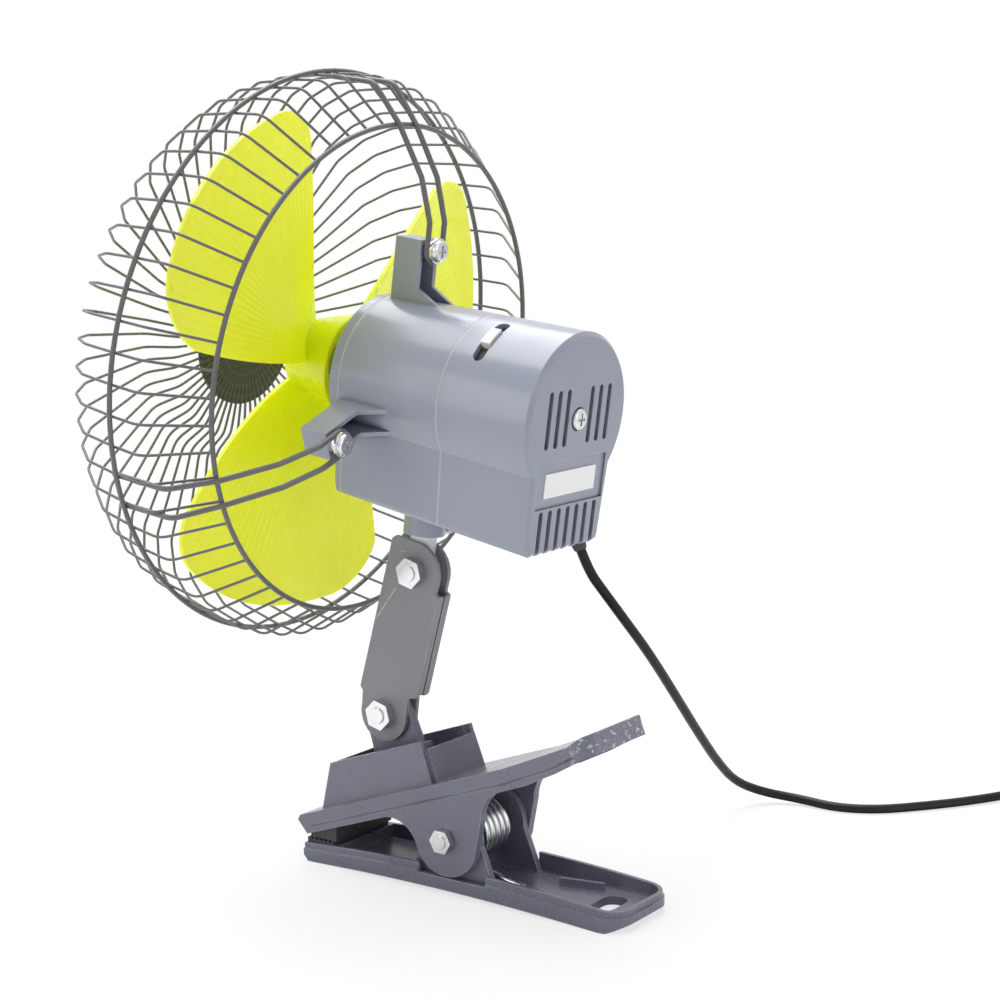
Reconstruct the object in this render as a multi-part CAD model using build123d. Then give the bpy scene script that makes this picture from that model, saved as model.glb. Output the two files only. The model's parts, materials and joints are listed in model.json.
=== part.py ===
from build123d import *
import math
import os

# Clip fan: a 12 V fan in a wire guard, on a geared swinging head, a folding arm and a spring clip.
# Millimetres and degrees. Build frame: X across the clip (+X the nut side), Y along it from the jaw
# to the handles, Z up from the surface it stands on. The finished pieces are moved along Y so that
# the origin is the middle of the object's footprint.

# Clearances and shared walls
FIT = 0.05
GAP = 0.3
WALL = 2.2
SEAT = 0.02

# Clip, lower lever
CLIP_HALF_WIDTH = 18.3
LOWER_LENGTH = 139.5
FRONT_FOOT_Y = 3.5
REAR_FOOT_Y = 132.0
FOOT_HALF = 1.6
ARCH = 1.6
FLOOR_TOP = 3.6
RIM_FRONT_Z = 6.6
RIM_MID_Z = 9.8
RIM_REAR_Z = 7.2
LOWER_CORNER = 9.0
POCKET_START = 16.0
NOTCH_FRONT_Y = 54.0
NOTCH_REAR_Y = 83.5
THUMB_SLOT = (16.0, 9.0)
THUMB_SLOT_Y = 124.0
RIB_HEIGHT = 2.4
RIB_THICK = 1.6
RIB_LENGTH = 17.0
RIB_ANGLE = 13.0
RIB_X = 9.0
RIB_Y = 107.0
CROSS_RIB_Y = 44.0

# Clip, pivot and ears
PIVOT_Y = 66.3
PIVOT_Z = 20.4
PIVOT_BOLT_R = 2.5
PIVOT_NUT_AF = 8.0
PIVOT_NUT_H = 3.0
CHEEK_R = 13.6
CHEEK_THICK = 3.2
EAR_R = 13.0
EAR_THICK = 2.5

# Clip, upper lever, in its own frame: a along it from the pivot, b square to it
CLIP_ANGLE = 19.8
UPPER_FRONT = -66.6
UPPER_REAR = 75.0
UPPER_LOW = 12.5
TIP_CORNER = 9.0
UPPER_TOP = 20.0
TAIL_RISE = 2.6
TIP_RISE = 5.0
TAIL_START = 33.0
GROOVE_DEPTH = 0.5
GROOVE_WIDE = 0.7

# Jaw pads
PAD_LENGTH = 13.0
PAD_JOIN_Z = 8.7
PAD_INSET = 0.6
PAD_SEAT_Z = 5.0
PAD_HALF_WIDTH = 16.5
PAD_RIDGES = 5
PAD_RIDGE_DEPTH = 0.5

# Torsion spring
SPRING_WIRE = 2.5
SPRING_R = 9.75
SPRING_GAP = 0.6
SPRING_TURNS = 5
SPRING_LEG = 30.0
SPRING_CLEAR = 0.3

# Pedestal on the upper lever, and its tab
PED_HALF_WIDTH = 15.8
PED_FRONT_LOW = -55.5
PED_FRONT_HIGH = -45.4
PED_REAR = -0.8
PED_TOP = 36.0
PED_WALL = 2.0
PED_END_TOP = 32.6
PED_END_OUT = 2.0
PED_END_INSET = 1.6
TAB_R = 10.2
TAB_COLLAR_TOP = 34.0
TAB_COLLAR_HALF = 4.5

# Folding arm, in its own frame: u along it from the lower bolt, v across it
LOWER_BOLT_Y = 27.2
LOWER_BOLT_Z = 57.6
ARM_LENGTH = 57.0
ARM_LEAN = 15.0
ARM_HALF_THICK = 3.8
ARM_PLATE = 1.6
ARM_HALF_WIDTH = 12.8
ARM_TOP_R = 11.0
ARM_FOOT_R = 10.4
ARM_LIP = 1.4
ARM_SEAM = 0.9
LIP_REAR_LOW = 12.0
LIP_REAR_TOP_DROP = 4.7
LIP_FRONT_LOW = 6.0
ARM_BOLT_R = 3.0
ARM_NUT_AF = 10.0
ARM_NUT_H = 3.7
BOLT_HEAD_H = 3.6

# Head: motor axis along Y, Z up, origin on the axis in the plane of the guard's outer ring
HEAD_TILT = 7.47
NECK_Y = 58.4
NECK_DROP = 68.6
HOUSING_FRONT_Y = 31.4
SEAM_Y = 79.3
HOUSING_REAR_Y = 118.1
BARREL_FRONT_R = 28.4
BARREL_REAR_R = 30.0
BOX_HALF_TOP = 24.8
BOX_HALF_LOW = 21.8
BOX_TOP_Z = -6.0
BOX_FRONT_DROP = 42.0
BOX_REAR_DROP = 46.6
HOUSING_WALL = 2.0
REAR_BEVEL = 1.6
BOX_CORNER = 3.0

# Ears on the housing that carry the guard
EAR_ANGLES = (90.0, -22.6, 202.6)
EAR_SCREW_R = 47.0
EAR_SCREW_Y = 49.4
EAR_HALF_WIDTH = 5.2
EAR_OUT = 50.5
EAR_FRONT_Y = 37.0
EAR_FLARE_Y = 58.0
EAR_FLARE_R = 33.5
EAR_WALL = 1.6
EAR_BOSS_R = 3.4
EAR_SCREW_HEAD_R = 4.0
EAR_SCREW_HEAD_H = 2.6
EAR_SCREW_SHANK_R = 1.6

# Guard
WIRE_COUNT = 60
WIRE_PHASE = 4.9
WIRE_R = 0.5
RING_R = 104.0
RING_WIRE_R = 0.9
RING_SEAT = 1.2
CAGE_R = RING_R - RING_SEAT
REAR_RING_IN = 14.1
REAR_RING_R = CAGE_R - REAR_RING_IN
REAR_RING_Y = 31.8
REAR_RING_WIRE_R = 0.9
SHOULDER_Y = 13.0
SHOULDER_OUT = 1.3
DOME_DEPTH = 41.0
STEP_R = 41.5
BADGE_DEPTH = 35.5
BADGE_R = 25.0
BADGE_THICK = 2.4
LEG_WIRE_R = 1.0
LEG_HALF_AT_SCREW = 4.3
LEG_HALF_AT_RING = 6.0

# Propeller
BLADES = 3
BLADE_CLEARANCE = 8.0
BLADE_TIP_R = CAGE_R - BLADE_CLEARANCE
BLADE_SPAN_ANGLE = 82.0
BLADE_THICK = 1.8
BLADE_MIDDLE = 45.0
HUB_R = 20.0
HUB_FRONT_R = 13.0
HUB_FRONT_Y = -3.0
HUB_REAR_Y = 22.0
HUB_WALL = 2.0

# Motor
MOTOR_R = 18.0
MOTOR_FRONT_Y = 37.0
MOTOR_REAR_Y = 84.0
MOTOR_WALL = 1.2
MOTOR_BOSS_R = 6.5
SHAFT_R = 2.5
MAGNET_THICK = 3.2
MAGNET_APART = 5.0
ARMATURE_CLEAR = 0.5
BULKHEAD = 2.5
BULKHEAD_LOW_Z = -22.0

# Gear train
WORM_R = 3.5
WORM_LENGTH = 10.0
WHEEL_TEETH = 30
WHEEL_R = 8.85
WHEEL_WIDE = 5.0
PINION_TEETH = 13
GEAR_TEETH = 42
GEAR_MODULE = 0.8
GEAR_WIDE = 4.0
GEAR_TOOTH_SHARE = 0.62
GEAR_LOW_Z = -32.6
CRANK_BACK = 18.0
PINION_SIDE = 12.5
GEAR_SHAFT_R = 2.0
BRACKET_Z = -25.0
BRACKET_THICK = 2.0

# Neck, crank and swing link
BOSS_R = 7.7
BOSS_LOW_Z = -54.3
BOSS_TOP_Z = -37.0
POST_R = 4.5
TANG_HALF_WIDTH = 4.6
COLLAR_LOW = 12.9
LUG_OUT = 12.6
LUG_THICK = 1.2
STUD_R = 1.5
LINK_LENGTH = 21.0
LINK_HALF_WIDTH = 2.0
LINK_THICK = 1.2
LINK_LOW_Z = -53.9
LINK_HIGH_Z = -48.5
CRANK_R = 8.2
CRANK_PIN_R = 6.0
CRANK_THICK = 2.0

# Speed slide in the curved slot
SLOT_Y = 90.2
SLOT_WIDE = 4.6
SLOT_FROM = 35.0
SLOT_TO = 74.0
KNOB_FROM = 48.5
KNOB_TO = 63.0
KNOB_PROUD = 0.5
SLIDE_THICK = 1.5
SLIDE_MARGIN = 15.0
SLIDE_SIDE = 3.0
SWITCH_LENGTH = 15.0
SWITCH_WIDE = 9.6
SWITCH_DEEP = 6.0

# Rear face
VENT_X = (7.2, 12.6, 18.0)
VENT_HALF = 10.0
VENT_WIDE = 2.5
VENT_RISE = 1.0
FIN_COUNT = 7
FIN_PITCH = 5.5
FIN_TOP_Z = -30.5
FIN_DEEP = 3.0
PANEL_HALF = 20.5
PANEL_TOP_Z = -14.0
PANEL_LOW_Z = -29.8
PANEL_DEPTH = 0.8
PLATE_SIZE = (31.0, 8.6)
PLATE_THICK = 0.4
PLATE_Z = -22.0

# Cord
CORD_D = 3.6
CORD_GAP = 0.75
CORD_EXIT_X = -17.2
CORD_EXIT_Y = 112.4
CORD_FIRST_RUN = 8.5
GLAND_R = 2.6
GLAND_BASE_R = 3.1
GLAND_END_R = 2.3
GLAND_OUT = 4.0
GLAND_DEEP = 3.4
GLAND_BACK = 24.0
GLAND_SIDE = 12.0
CORD_ROUTE = (
    (-24.0, 105.4, 108.5),
    (-33.0, 108.6, 97.0),
    (-46.0, 109.8, 84.0),
    (-61.0, 108.8, 70.2),
    (-77.0, 107.2, 55.5),
    (-95.0, 105.0, 39.5),
    (-113.0, 102.6, 24.5),
    (-130.0, 101.6, 11.5),
    (-144.0, 107.0, 4.4),
    (-150.5, 121.0, 2.3),
    (-149.5, 137.0, 1.9),
    (-156.5, 152.0, 1.9),
    (-171.0, 164.5, 1.9),
    (-188.0, 177.0, 1.9),
    (-207.0, 188.5, 2.2),
)
COIL_TURNS = 4
COIL_INNER_R = 11.2
COIL_STEP = 4.9
COIL_LIFT = 1.1
COIL_START = (-232.0, 203.0)
COIL_HEADING = 150.6
PLUG_RUN = 50.0
PLUG_SIDE = 20.0
TIE_WIDE = 4.6
TIE_THICK = 0.8
PLUG_R = 10.4
PLUG_GRIP_R = 11.4
PLUG_GRIP_LENGTH = 24.0
PLUG_BODY_LENGTH = 34.0
PLUG_TAIL_R = 4.2
PLUG_TAIL_LENGTH = 12.0
PLUG_TIP_R = 3.4
PLUG_TIP_LENGTH = 7.0
PLUG_RIBS = 6


def plate(points, x0, x1):
    """A side-view outline (y, z) made solid between two X planes."""
    face = make_face(Polyline(*points, close=True))
    return Pos(x0, 0, 0) * extrude(Plane.YZ * face, x1 - x0)


def plate_of(edges, x0, x1):
    """The same from a list of edges drawn in (y, z)."""
    return Pos(x0, 0, 0) * extrude(Plane.YZ * make_face(edges), x1 - x0)


def block(x0, x1, y0, y1, z0, z1):
    """A box between six planes."""
    return Pos((x0 + x1) / 2, (y0 + y1) / 2, (z0 + z1) / 2) * Box(x1 - x0, y1 - y0, z1 - z0)


def rod_x(r, x0, x1, y=0.0, z=0.0):
    return Pos((x0 + x1) / 2, y, z) * Rot(0, 90, 0) * Cylinder(r, x1 - x0)


def rod_y(r, y0, y1, x=0.0, z=0.0):
    return Pos(x, (y0 + y1) / 2, z) * Rot(90, 0, 0) * Cylinder(r, y1 - y0)


def rod_z(r, z0, z1, x=0.0, y=0.0):
    return Pos(x, y, (z0 + z1) / 2) * Cylinder(r, z1 - z0)


def cone_y(r0, r1, y0, y1):
    """A cone about the Y axis, r0 at y0 and r1 at y1."""
    return Pos(0, (y0 + y1) / 2, 0) * Rot(-90, 0, 0) * Cone(r0, r1, y1 - y0)


def hex_x(across_flats, x0, x1):
    """A hexagonal prism along X."""
    face = RegularPolygon(across_flats / math.sqrt(3), 6)
    return Pos(x0, 0, 0) * extrude(Plane.YZ * face, x1 - x0)


def nut_x(across_flats, x0, x1, bore):
    """A nut along X with rounded corners on its outer face."""
    crown = rod_x(across_flats / 2 * 1.13, x0, x1)
    return (hex_x(across_flats, x0, x1) & crown) - rod_x(bore, x0 - 1, x1 + 1)


def polar(r, angle, y=0.0):
    """A point at a radius and an angle from +X towards +Z, at y along the motor axis."""
    return Vector(r * math.cos(math.radians(angle)), y, r * math.sin(math.radians(angle)))


def about_axis(shape, angle):
    """Turns a head piece about the motor axis, from +X towards +Z."""
    return Rot(0, -angle, 0) * shape


def turned(points):
    """A profile (r, y) turned once round the motor axis."""
    face = make_face(Polyline(*[(r, y) for r, y in points], close=True))
    return revolve(face, Axis.Y)


def lever_frame(shape):
    """From the upper lever's frame to the build frame."""
    return Pos(0, PIVOT_Y, PIVOT_Z) * Rot(CLIP_ANGLE, 0, 0) * shape


def arm_frame(shape):
    """From the arm's frame to the build frame."""
    return Pos(0, LOWER_BOLT_Y, LOWER_BOLT_Z) * Rot(-ARM_LEAN, 0, 0) * shape


def upper_bolt():
    """The tilt bolt's place in the build frame."""
    lean = math.radians(ARM_LEAN)
    return Vector(0, LOWER_BOLT_Y + ARM_LENGTH * math.sin(lean), LOWER_BOLT_Z + ARM_LENGTH * math.cos(lean))


def head_frame(shape):
    """From the head's frame to the build frame: the tilt bolt is under the neck."""
    bolt = upper_bolt()
    return Pos(0, bolt.Y, bolt.Z) * Rot(-HEAD_TILT, 0, 0) * Pos(0, -NECK_Y, NECK_DROP) * shape


def lever_point(a, b):
    """A point (a, b) of the upper lever's frame, as (y, z) of the build frame."""
    turn = math.radians(CLIP_ANGLE)
    return (
        PIVOT_Y + a * math.cos(turn) - b * math.sin(turn),
        PIVOT_Z + a * math.sin(turn) + b * math.cos(turn),
    )


def in_lever(y, z):
    """A build-frame (y, z) as (a, b) of the upper lever's frame."""
    turn = math.radians(CLIP_ANGLE)
    return (
        (y - PIVOT_Y) * math.cos(turn) + (z - PIVOT_Z) * math.sin(turn),
        -(y - PIVOT_Y) * math.sin(turn) + (z - PIVOT_Z) * math.cos(turn),
    )


# ---------------------------------------------------------------- clip


def plan_outline(inset, low, high, start=0.0):
    """The lower lever's plan, drawn in by inset, between two heights."""
    half = CLIP_HALF_WIDTH - inset
    end = LOWER_LENGTH - inset
    face = make_face(Polyline((-half, start), (half, start), (half, end), (-half, end), close=True))
    rear = face.vertices().sort_by(Axis.Y)[-2:]
    return Pos(0, 0, low) * extrude(fillet(rear, LOWER_CORNER - inset), high - low)


def lower_ear():
    """One ear beside the pivot, its foot in the tray."""
    foot = [
        (PIVOT_Y - EAR_R - 4, ARCH + 1),
        (PIVOT_Y + EAR_R + 7, ARCH + 1),
        (PIVOT_Y + EAR_R, PIVOT_Z - 1),
        (PIVOT_Y + EAR_R - 0.3, PIVOT_Z + 2),
        (PIVOT_Y - EAR_R + 0.3, PIVOT_Z + 2),
    ]
    outer = CLIP_HALF_WIDTH - CHEEK_THICK - GAP
    ear = plate(foot, outer - EAR_THICK, outer) + rod_x(EAR_R, outer - EAR_THICK, outer, PIVOT_Y, PIVOT_Z)
    return ear - rod_x(PIVOT_BOLT_R + SEAT, 0, CLIP_HALF_WIDTH, PIVOT_Y, PIVOT_Z)


def lower_lever():
    """The long tray that stands on the surface, arched so that it stands on its two ends."""
    w = CLIP_HALF_WIDTH
    front, rear = (FRONT_FOOT_Y + FOOT_HALF, 0), (REAR_FOOT_Y - FOOT_HALF, 0)
    side = [
        ThreePointArc(front, ((FRONT_FOOT_Y + REAR_FOOT_Y) / 2, ARCH), rear),
        Line(rear, (REAR_FOOT_Y + FOOT_HALF, 0)),
        Line((REAR_FOOT_Y + FOOT_HALF, 0), (LOWER_LENGTH, 2.4)),
        Line((LOWER_LENGTH, 2.4), (LOWER_LENGTH, RIM_REAR_Z)),
        ThreePointArc((LOWER_LENGTH, RIM_REAR_Z), (LOWER_LENGTH * 0.45, RIM_MID_Z), (0, RIM_FRONT_Z)),
        Line((0, RIM_FRONT_Z), (0, 2.2)),
        Line((0, 2.2), (FRONT_FOOT_Y - FOOT_HALF, 0)),
        Line((FRONT_FOOT_Y - FOOT_HALF, 0), front),
    ]
    tray = plate_of(side, -w, w) & plan_outline(0, -1, 20)
    tray -= plan_outline(WALL, FLOOR_TOP, 20, POCKET_START)
    seat = PAD_HALF_WIDTH + SEAT
    tray -= block(-seat, seat, PAD_INSET - SEAT, PAD_LENGTH + SEAT, PAD_SEAT_Z, 20)
    # the rim's upper band is set in, above a step that follows it
    step = [
        (-1, RIM_FRONT_Z - 2.0),
        (LOWER_LENGTH * 0.45, RIM_MID_Z - 2.0),
        (LOWER_LENGTH + 1, RIM_REAR_Z - 2.0),
    ]
    band = plate(step + [(LOWER_LENGTH + 1, 20), (-1, 20)], -w - 1, w + 1)
    tray -= band - plan_outline(0.7, -1, 21, -2.0)
    # the rim is low where the upper lever's cheeks pass
    notch_low = PIVOT_Z - CHEEK_R - GAP - 0.2
    for side_sign in (-1, 1):
        near = w - CHEEK_THICK - GAP
        tray -= Pos(side_sign * (near + 5), (NOTCH_FRONT_Y + NOTCH_REAR_Y) / 2, notch_low + 10) * Box(
            10, NOTCH_REAR_Y - NOTCH_FRONT_Y, 20
        )
    for side_sign in (-1, 1):
        rib = Rot(0, 0, -side_sign * RIB_ANGLE) * Box(RIB_THICK, RIB_LENGTH, RIB_HEIGHT + 0.4)
        tray += Pos(side_sign * RIB_X, RIB_Y, FLOOR_TOP + RIB_HEIGHT / 2 - 0.2) * rib
    cross_half = w - WALL + 0.2
    rib_top = FLOOR_TOP + RIB_HEIGHT
    tray += block(-cross_half, cross_half, CROSS_RIB_Y, CROSS_RIB_Y + RIB_THICK, FLOOR_TOP - 0.2, rib_top)
    slot = Pos(0, THUMB_SLOT_Y, 0) * extrude(SlotOverall(*THUMB_SLOT), 20, both=True)
    tray -= slot
    ear = lower_ear()
    return tray + ear + mirror(ear, Plane.YZ)


def upper_outline():
    """The upper lever's side view, as a list of (a, b)."""
    return [
        (UPPER_FRONT, UPPER_TOP - 1.5),
        (UPPER_FRONT + 1.6, UPPER_TOP),
        (TAIL_START, UPPER_TOP + 0.3),
        (TAIL_START + 0.72 * (UPPER_REAR - TAIL_START), UPPER_TOP + TAIL_RISE),
        (UPPER_REAR - 5.5, UPPER_TOP + TIP_RISE - 0.2),
        (UPPER_REAR - 2.2, UPPER_TOP + TIP_RISE),
        (UPPER_REAR, UPPER_TOP + TIP_RISE - 3.0),
        (UPPER_REAR - 1.6, UPPER_LOW + 5.4),
        (UPPER_REAR - 9.0, UPPER_LOW + 4.4),
        (UPPER_REAR - 20.0, UPPER_LOW + 2.2),
        (TAIL_START + 9.0, UPPER_LOW + 0.4),
        (TAIL_START - 3.0, UPPER_LOW),
        (UPPER_FRONT + 2.6, UPPER_LOW),
    ]


def upper_hollow():
    """The channel under the upper lever's top plate."""
    return [
        (UPPER_FRONT + 8.0, UPPER_LOW - 5),
        (UPPER_FRONT + 8.0, UPPER_TOP - WALL),
        (TAIL_START, UPPER_TOP + 0.3 - WALL),
        (TAIL_START + 0.72 * (UPPER_REAR - TAIL_START), UPPER_TOP + TAIL_RISE - WALL),
        (UPPER_REAR - 8.0, UPPER_TOP + TIP_RISE - 1.6 - WALL),
        (UPPER_REAR - 8.0, UPPER_LOW - 5),
    ]


def lever_cheek():
    """One round cheek of the upper lever, with its curved flanks."""
    low = UPPER_LOW + 0.1
    corner = (CHEEK_R * 0.77, -CHEEK_R * 0.64)
    flank = (CHEEK_R + 4.4, 4.0)
    edges = [
        Line((-CHEEK_R - 12.4, low + 2), (-CHEEK_R - 12.4, low)),
        ThreePointArc((-CHEEK_R - 12.4, low), (-CHEEK_R - 3.6, low - 3.6), (-CHEEK_R, 0)),
        ThreePointArc((-CHEEK_R, 0), (-CHEEK_R * 0.5, -CHEEK_R * 0.866), corner),
        Line(corner, flank),
        ThreePointArc(flank, (flank[0] + 4.3, low - 2.6), (flank[0] + 12.0, low)),
        Line((flank[0] + 12.0, low), (flank[0] + 12.0, low + 2)),
        Line((flank[0] + 12.0, low + 2), (-CHEEK_R - 12.4, low + 2)),
    ]
    return plate_of(edges, CLIP_HALF_WIDTH - CHEEK_THICK, CLIP_HALF_WIDTH)


def pedestal():
    """The open box on the upper lever and the tab in it that the arm folds on."""
    low = UPPER_TOP - 1.0
    base = UPPER_TOP
    draft = (PED_FRONT_HIGH - PED_FRONT_LOW) / (PED_TOP - base)
    outer = [(PED_FRONT_LOW - draft, low), (PED_FRONT_HIGH, PED_TOP), (PED_REAR, PED_TOP), (PED_REAR, low)]
    inner = [
        (PED_FRONT_LOW + PED_WALL, base),
        (PED_FRONT_HIGH + PED_WALL + draft * 2, PED_TOP + 2),
        (PED_REAR + PED_END_OUT - PED_WALL, PED_TOP + 2),
        (PED_REAR + PED_END_OUT - PED_WALL, base),
    ]
    half = PED_HALF_WIDTH
    end_half = half - PED_END_INSET
    body = plate(outer, -half, half)
    end = [
        (PED_REAR - 3, low),
        (PED_REAR - 3, PED_END_TOP),
        (PED_REAR + PED_END_OUT - 0.6, PED_END_TOP),
        (PED_REAR + PED_END_OUT, low),
    ]
    body += plate(end, -end_half, end_half)
    body -= plate(inner, -half + PED_WALL, half - PED_WALL)
    body -= block(-end_half, end_half, PED_REAR - 3, PED_REAR + 5, PED_END_TOP, PED_TOP + 5)
    bolt = in_lever(LOWER_BOLT_Y, LOWER_BOLT_Z)
    tab_half = ARM_HALF_THICK - ARM_PLATE - GAP
    tab = [
        (bolt[0] - TAB_R - 1.5, low),
        (bolt[0] - TAB_R, bolt[1]),
        (bolt[0] + TAB_R, bolt[1]),
        (bolt[0] + TAB_R + 2.0, low),
    ]
    collar = [
        (bolt[0] - TAB_R - 2.5, low),
        (bolt[0] - TAB_R - 1.6, TAB_COLLAR_TOP),
        (bolt[0] + TAB_R + 1.8, TAB_COLLAR_TOP),
        (bolt[0] + TAB_R + 3.0, low),
    ]
    body += plate(tab, -tab_half, tab_half) + rod_x(TAB_R, -tab_half, tab_half, *bolt)
    body += plate(collar, -TAB_COLLAR_HALF, TAB_COLLAR_HALF)
    return body - rod_x(ARM_BOLT_R + FIT, -half, half, *bolt)


def side_groove():
    """The groove along the upper lever's side, following its lower edge, as a list of (a, b)."""
    low = [
        (UPPER_FRONT + 6.0, UPPER_LOW + 2.2),
        (TAIL_START, UPPER_LOW + 2.2),
        (UPPER_REAR - 20.0, UPPER_LOW + 4.0),
        (UPPER_REAR - 11.0, UPPER_LOW + 5.8),
    ]
    return low + [(a, b + GROOVE_WIDE) for a, b in reversed(low)]


def upper_lever():
    """The channel-shaped upper lever with its cheeks and pedestal."""
    w = CLIP_HALF_WIDTH
    lever = plate(upper_outline(), -w, w) - plate(upper_hollow(), -w + WALL, w - WALL)
    plan = block(-w, w, UPPER_FRONT - 5, UPPER_REAR, -UPPER_TOP, UPPER_TOP * 2)
    corners = plan.edges().filter_by(Axis.Z).sort_by(Axis.Y)[-2:]
    lever = lever & fillet(corners, TIP_CORNER)
    cheek = lever_cheek()
    lever += cheek + mirror(cheek, Plane.YZ)
    for sign in (-1, 1):
        lever -= plate(side_groove(), sign * w - GROOVE_DEPTH, sign * w + GROOVE_DEPTH)
    lever -= rod_x(PIVOT_BOLT_R + FIT, -w - 1, w + 1)
    return lever_frame(lever + pedestal())


def lower_pad():
    """The ribbed pad on the lower jaw."""
    pad = block(-PAD_HALF_WIDTH, PAD_HALF_WIDTH, PAD_INSET, PAD_LENGTH, PAD_SEAT_Z, PAD_JOIN_Z)
    return cut_ridges(pad, PAD_JOIN_Z)


def cut_ridges(pad, z):
    """Shallow grooves across a pad at the height where the two pads meet."""
    pitch = PAD_LENGTH / (PAD_RIDGES + 1)
    for n in range(PAD_RIDGES):
        y = PAD_INSET + pitch * (n + 1)
        pad -= block(-50, 50, y - pitch / 6, y + pitch / 6, z - PAD_RIDGE_DEPTH, z + PAD_RIDGE_DEPTH)
    return pad


def upper_pad():
    """The pad under the upper jaw, a wedge that fills the angle between the levers."""
    z = PAD_JOIN_Z + GAP
    front = lever_point(UPPER_FRONT + 3.0, UPPER_LOW - SEAT)
    rear = lever_point(UPPER_FRONT + 3.0 + PAD_LENGTH, UPPER_LOW - SEAT)
    wedge = [(front[0], z), (rear[0], z), rear, front]
    return cut_ridges(plate(wedge, -PAD_HALF_WIDTH, PAD_HALF_WIDTH), z)


def pivot_bolt():
    """The bolt through both levers: head on the far side, thread end in the nut."""
    w = CLIP_HALF_WIDTH
    shank = rod_x(PIVOT_BOLT_R, -w - GAP, w + GAP + PIVOT_NUT_H + 0.6)
    head = rod_x(PIVOT_BOLT_R * 1.8, -w - GAP - BOLT_HEAD_H * 0.8, -w - GAP)
    head = fillet(head.edges().filter_by(GeomType.CIRCLE).sort_by(Axis.X)[0], 1.2)
    return Pos(0, PIVOT_Y, PIVOT_Z) * (shank + head)


def pivot_nut():
    w = CLIP_HALF_WIDTH + GAP
    return Pos(0, PIVOT_Y, PIVOT_Z) * nut_x(PIVOT_NUT_AF, w, w + PIVOT_NUT_H, PIVOT_BOLT_R + SEAT)


def tangent_pair(p1, t1, p2, t2):
    """Two arcs that leave p1 along t1 and reach p2 along t2, or the line where that is straight."""
    v = p2 - p1
    if v.cross(t1).length < 1e-6 and t1.dot(t2) > 1 - 1e-9:
        return [Line(p1, p2).edge()]
    total = t1 + t2
    square = 2 * (1 - t1.dot(t2))
    if square < 1e-9:
        d = v.dot(v) / (4 * v.dot(t1))
    else:
        b = v.dot(total)
        d = (-b + math.sqrt(b * b + square * v.dot(v))) / square
    joint = (p1 + p2 + (t1 - t2) * d) * 0.5
    first = Edge.make_tangent_arc(p1, t1, joint)
    second = Edge.make_tangent_arc(p2, t2 * -1, joint)
    return [first, second]


def through(points, tangents):
    """A run of tangent arcs through points with the given directions."""
    edges = []
    for p1, t1, p2, t2 in zip(points, tangents, points[1:], tangents[1:]):
        edges += tangent_pair(p1, t1.normalized(), p2, t2.normalized())
    return edges


def tube_along(edges, radius):
    """A round tube swept along tangent edges."""
    path = Wire(edges)
    start = Plane(origin=path @ 0, z_dir=path % 0)
    return sweep(start * Circle(radius), path=path)


def spring_path():
    """The spring's coil and its two legs: helix about the pivot, legs towards the handles."""
    pitch = SPRING_WIRE + SPRING_GAP
    floor_drop = PIVOT_Z - FLOOR_TOP - SPRING_WIRE / 2 - SPRING_CLEAR
    low_dip = math.degrees(math.asin(min(0.9, (floor_drop - SPRING_R) / SPRING_LEG)))
    roof = UPPER_TOP - WALL - SPRING_WIRE / 2 - SPRING_CLEAR
    high_rise = math.degrees(math.asin(min(0.9, (roof - SPRING_R) / SPRING_LEG)))
    start = 270 - low_dip
    end = 90 + CLIP_ANGLE + high_rise - 360 * SPRING_TURNS
    sweep_angle = start - end
    steps = math.ceil(sweep_angle / 90)
    width = pitch * sweep_angle / 360
    points, tangents = [], []
    for n in range(steps + 1):
        phi = math.radians(start - sweep_angle * n / steps)
        x = width / 2 - width * n / steps
        points.append(Vector(x, PIVOT_Y + SPRING_R * math.cos(phi), PIVOT_Z + SPRING_R * math.sin(phi)))
        slope = width / (SPRING_R * math.radians(sweep_angle))
        tangents.append(Vector(-slope, math.sin(phi), -math.cos(phi)))
    flat_start = Vector(0, tangents[0].Y, tangents[0].Z)
    flat_end = Vector(0, tangents[-1].Y, tangents[-1].Z)
    tangents[0], tangents[-1] = flat_start, flat_end
    edges = through(points, tangents)
    first = Line(points[0] - flat_start.normalized() * SPRING_LEG, points[0]).edge()
    last = Line(points[-1], points[-1] + flat_end.normalized() * SPRING_LEG).edge()
    return [first] + edges + [last]


def torsion_spring():
    edges = spring_path()
    report_gap("torsion spring", edges, SPRING_WIRE)
    return tube_along(edges, SPRING_WIRE / 2)


def report_gap(name, edges, diameter):
    """Prints the least gap of a wound tube to itself, measured on points along it."""
    path = Wire(edges)
    step = diameter / 3
    count = int(path.length / step)
    points = [path @ (n / count) for n in range(count + 1)]
    skip = int(math.pi * diameter / step) + 2
    least = 1e9
    for i in range(len(points)):
        for j in range(i + skip, len(points)):
            least = min(least, (points[i] - points[j]).length)
    print(name, "length", round(path.length, 1), "least gap to itself", round(least - diameter, 2))


# ---------------------------------------------------------------- arm


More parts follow.
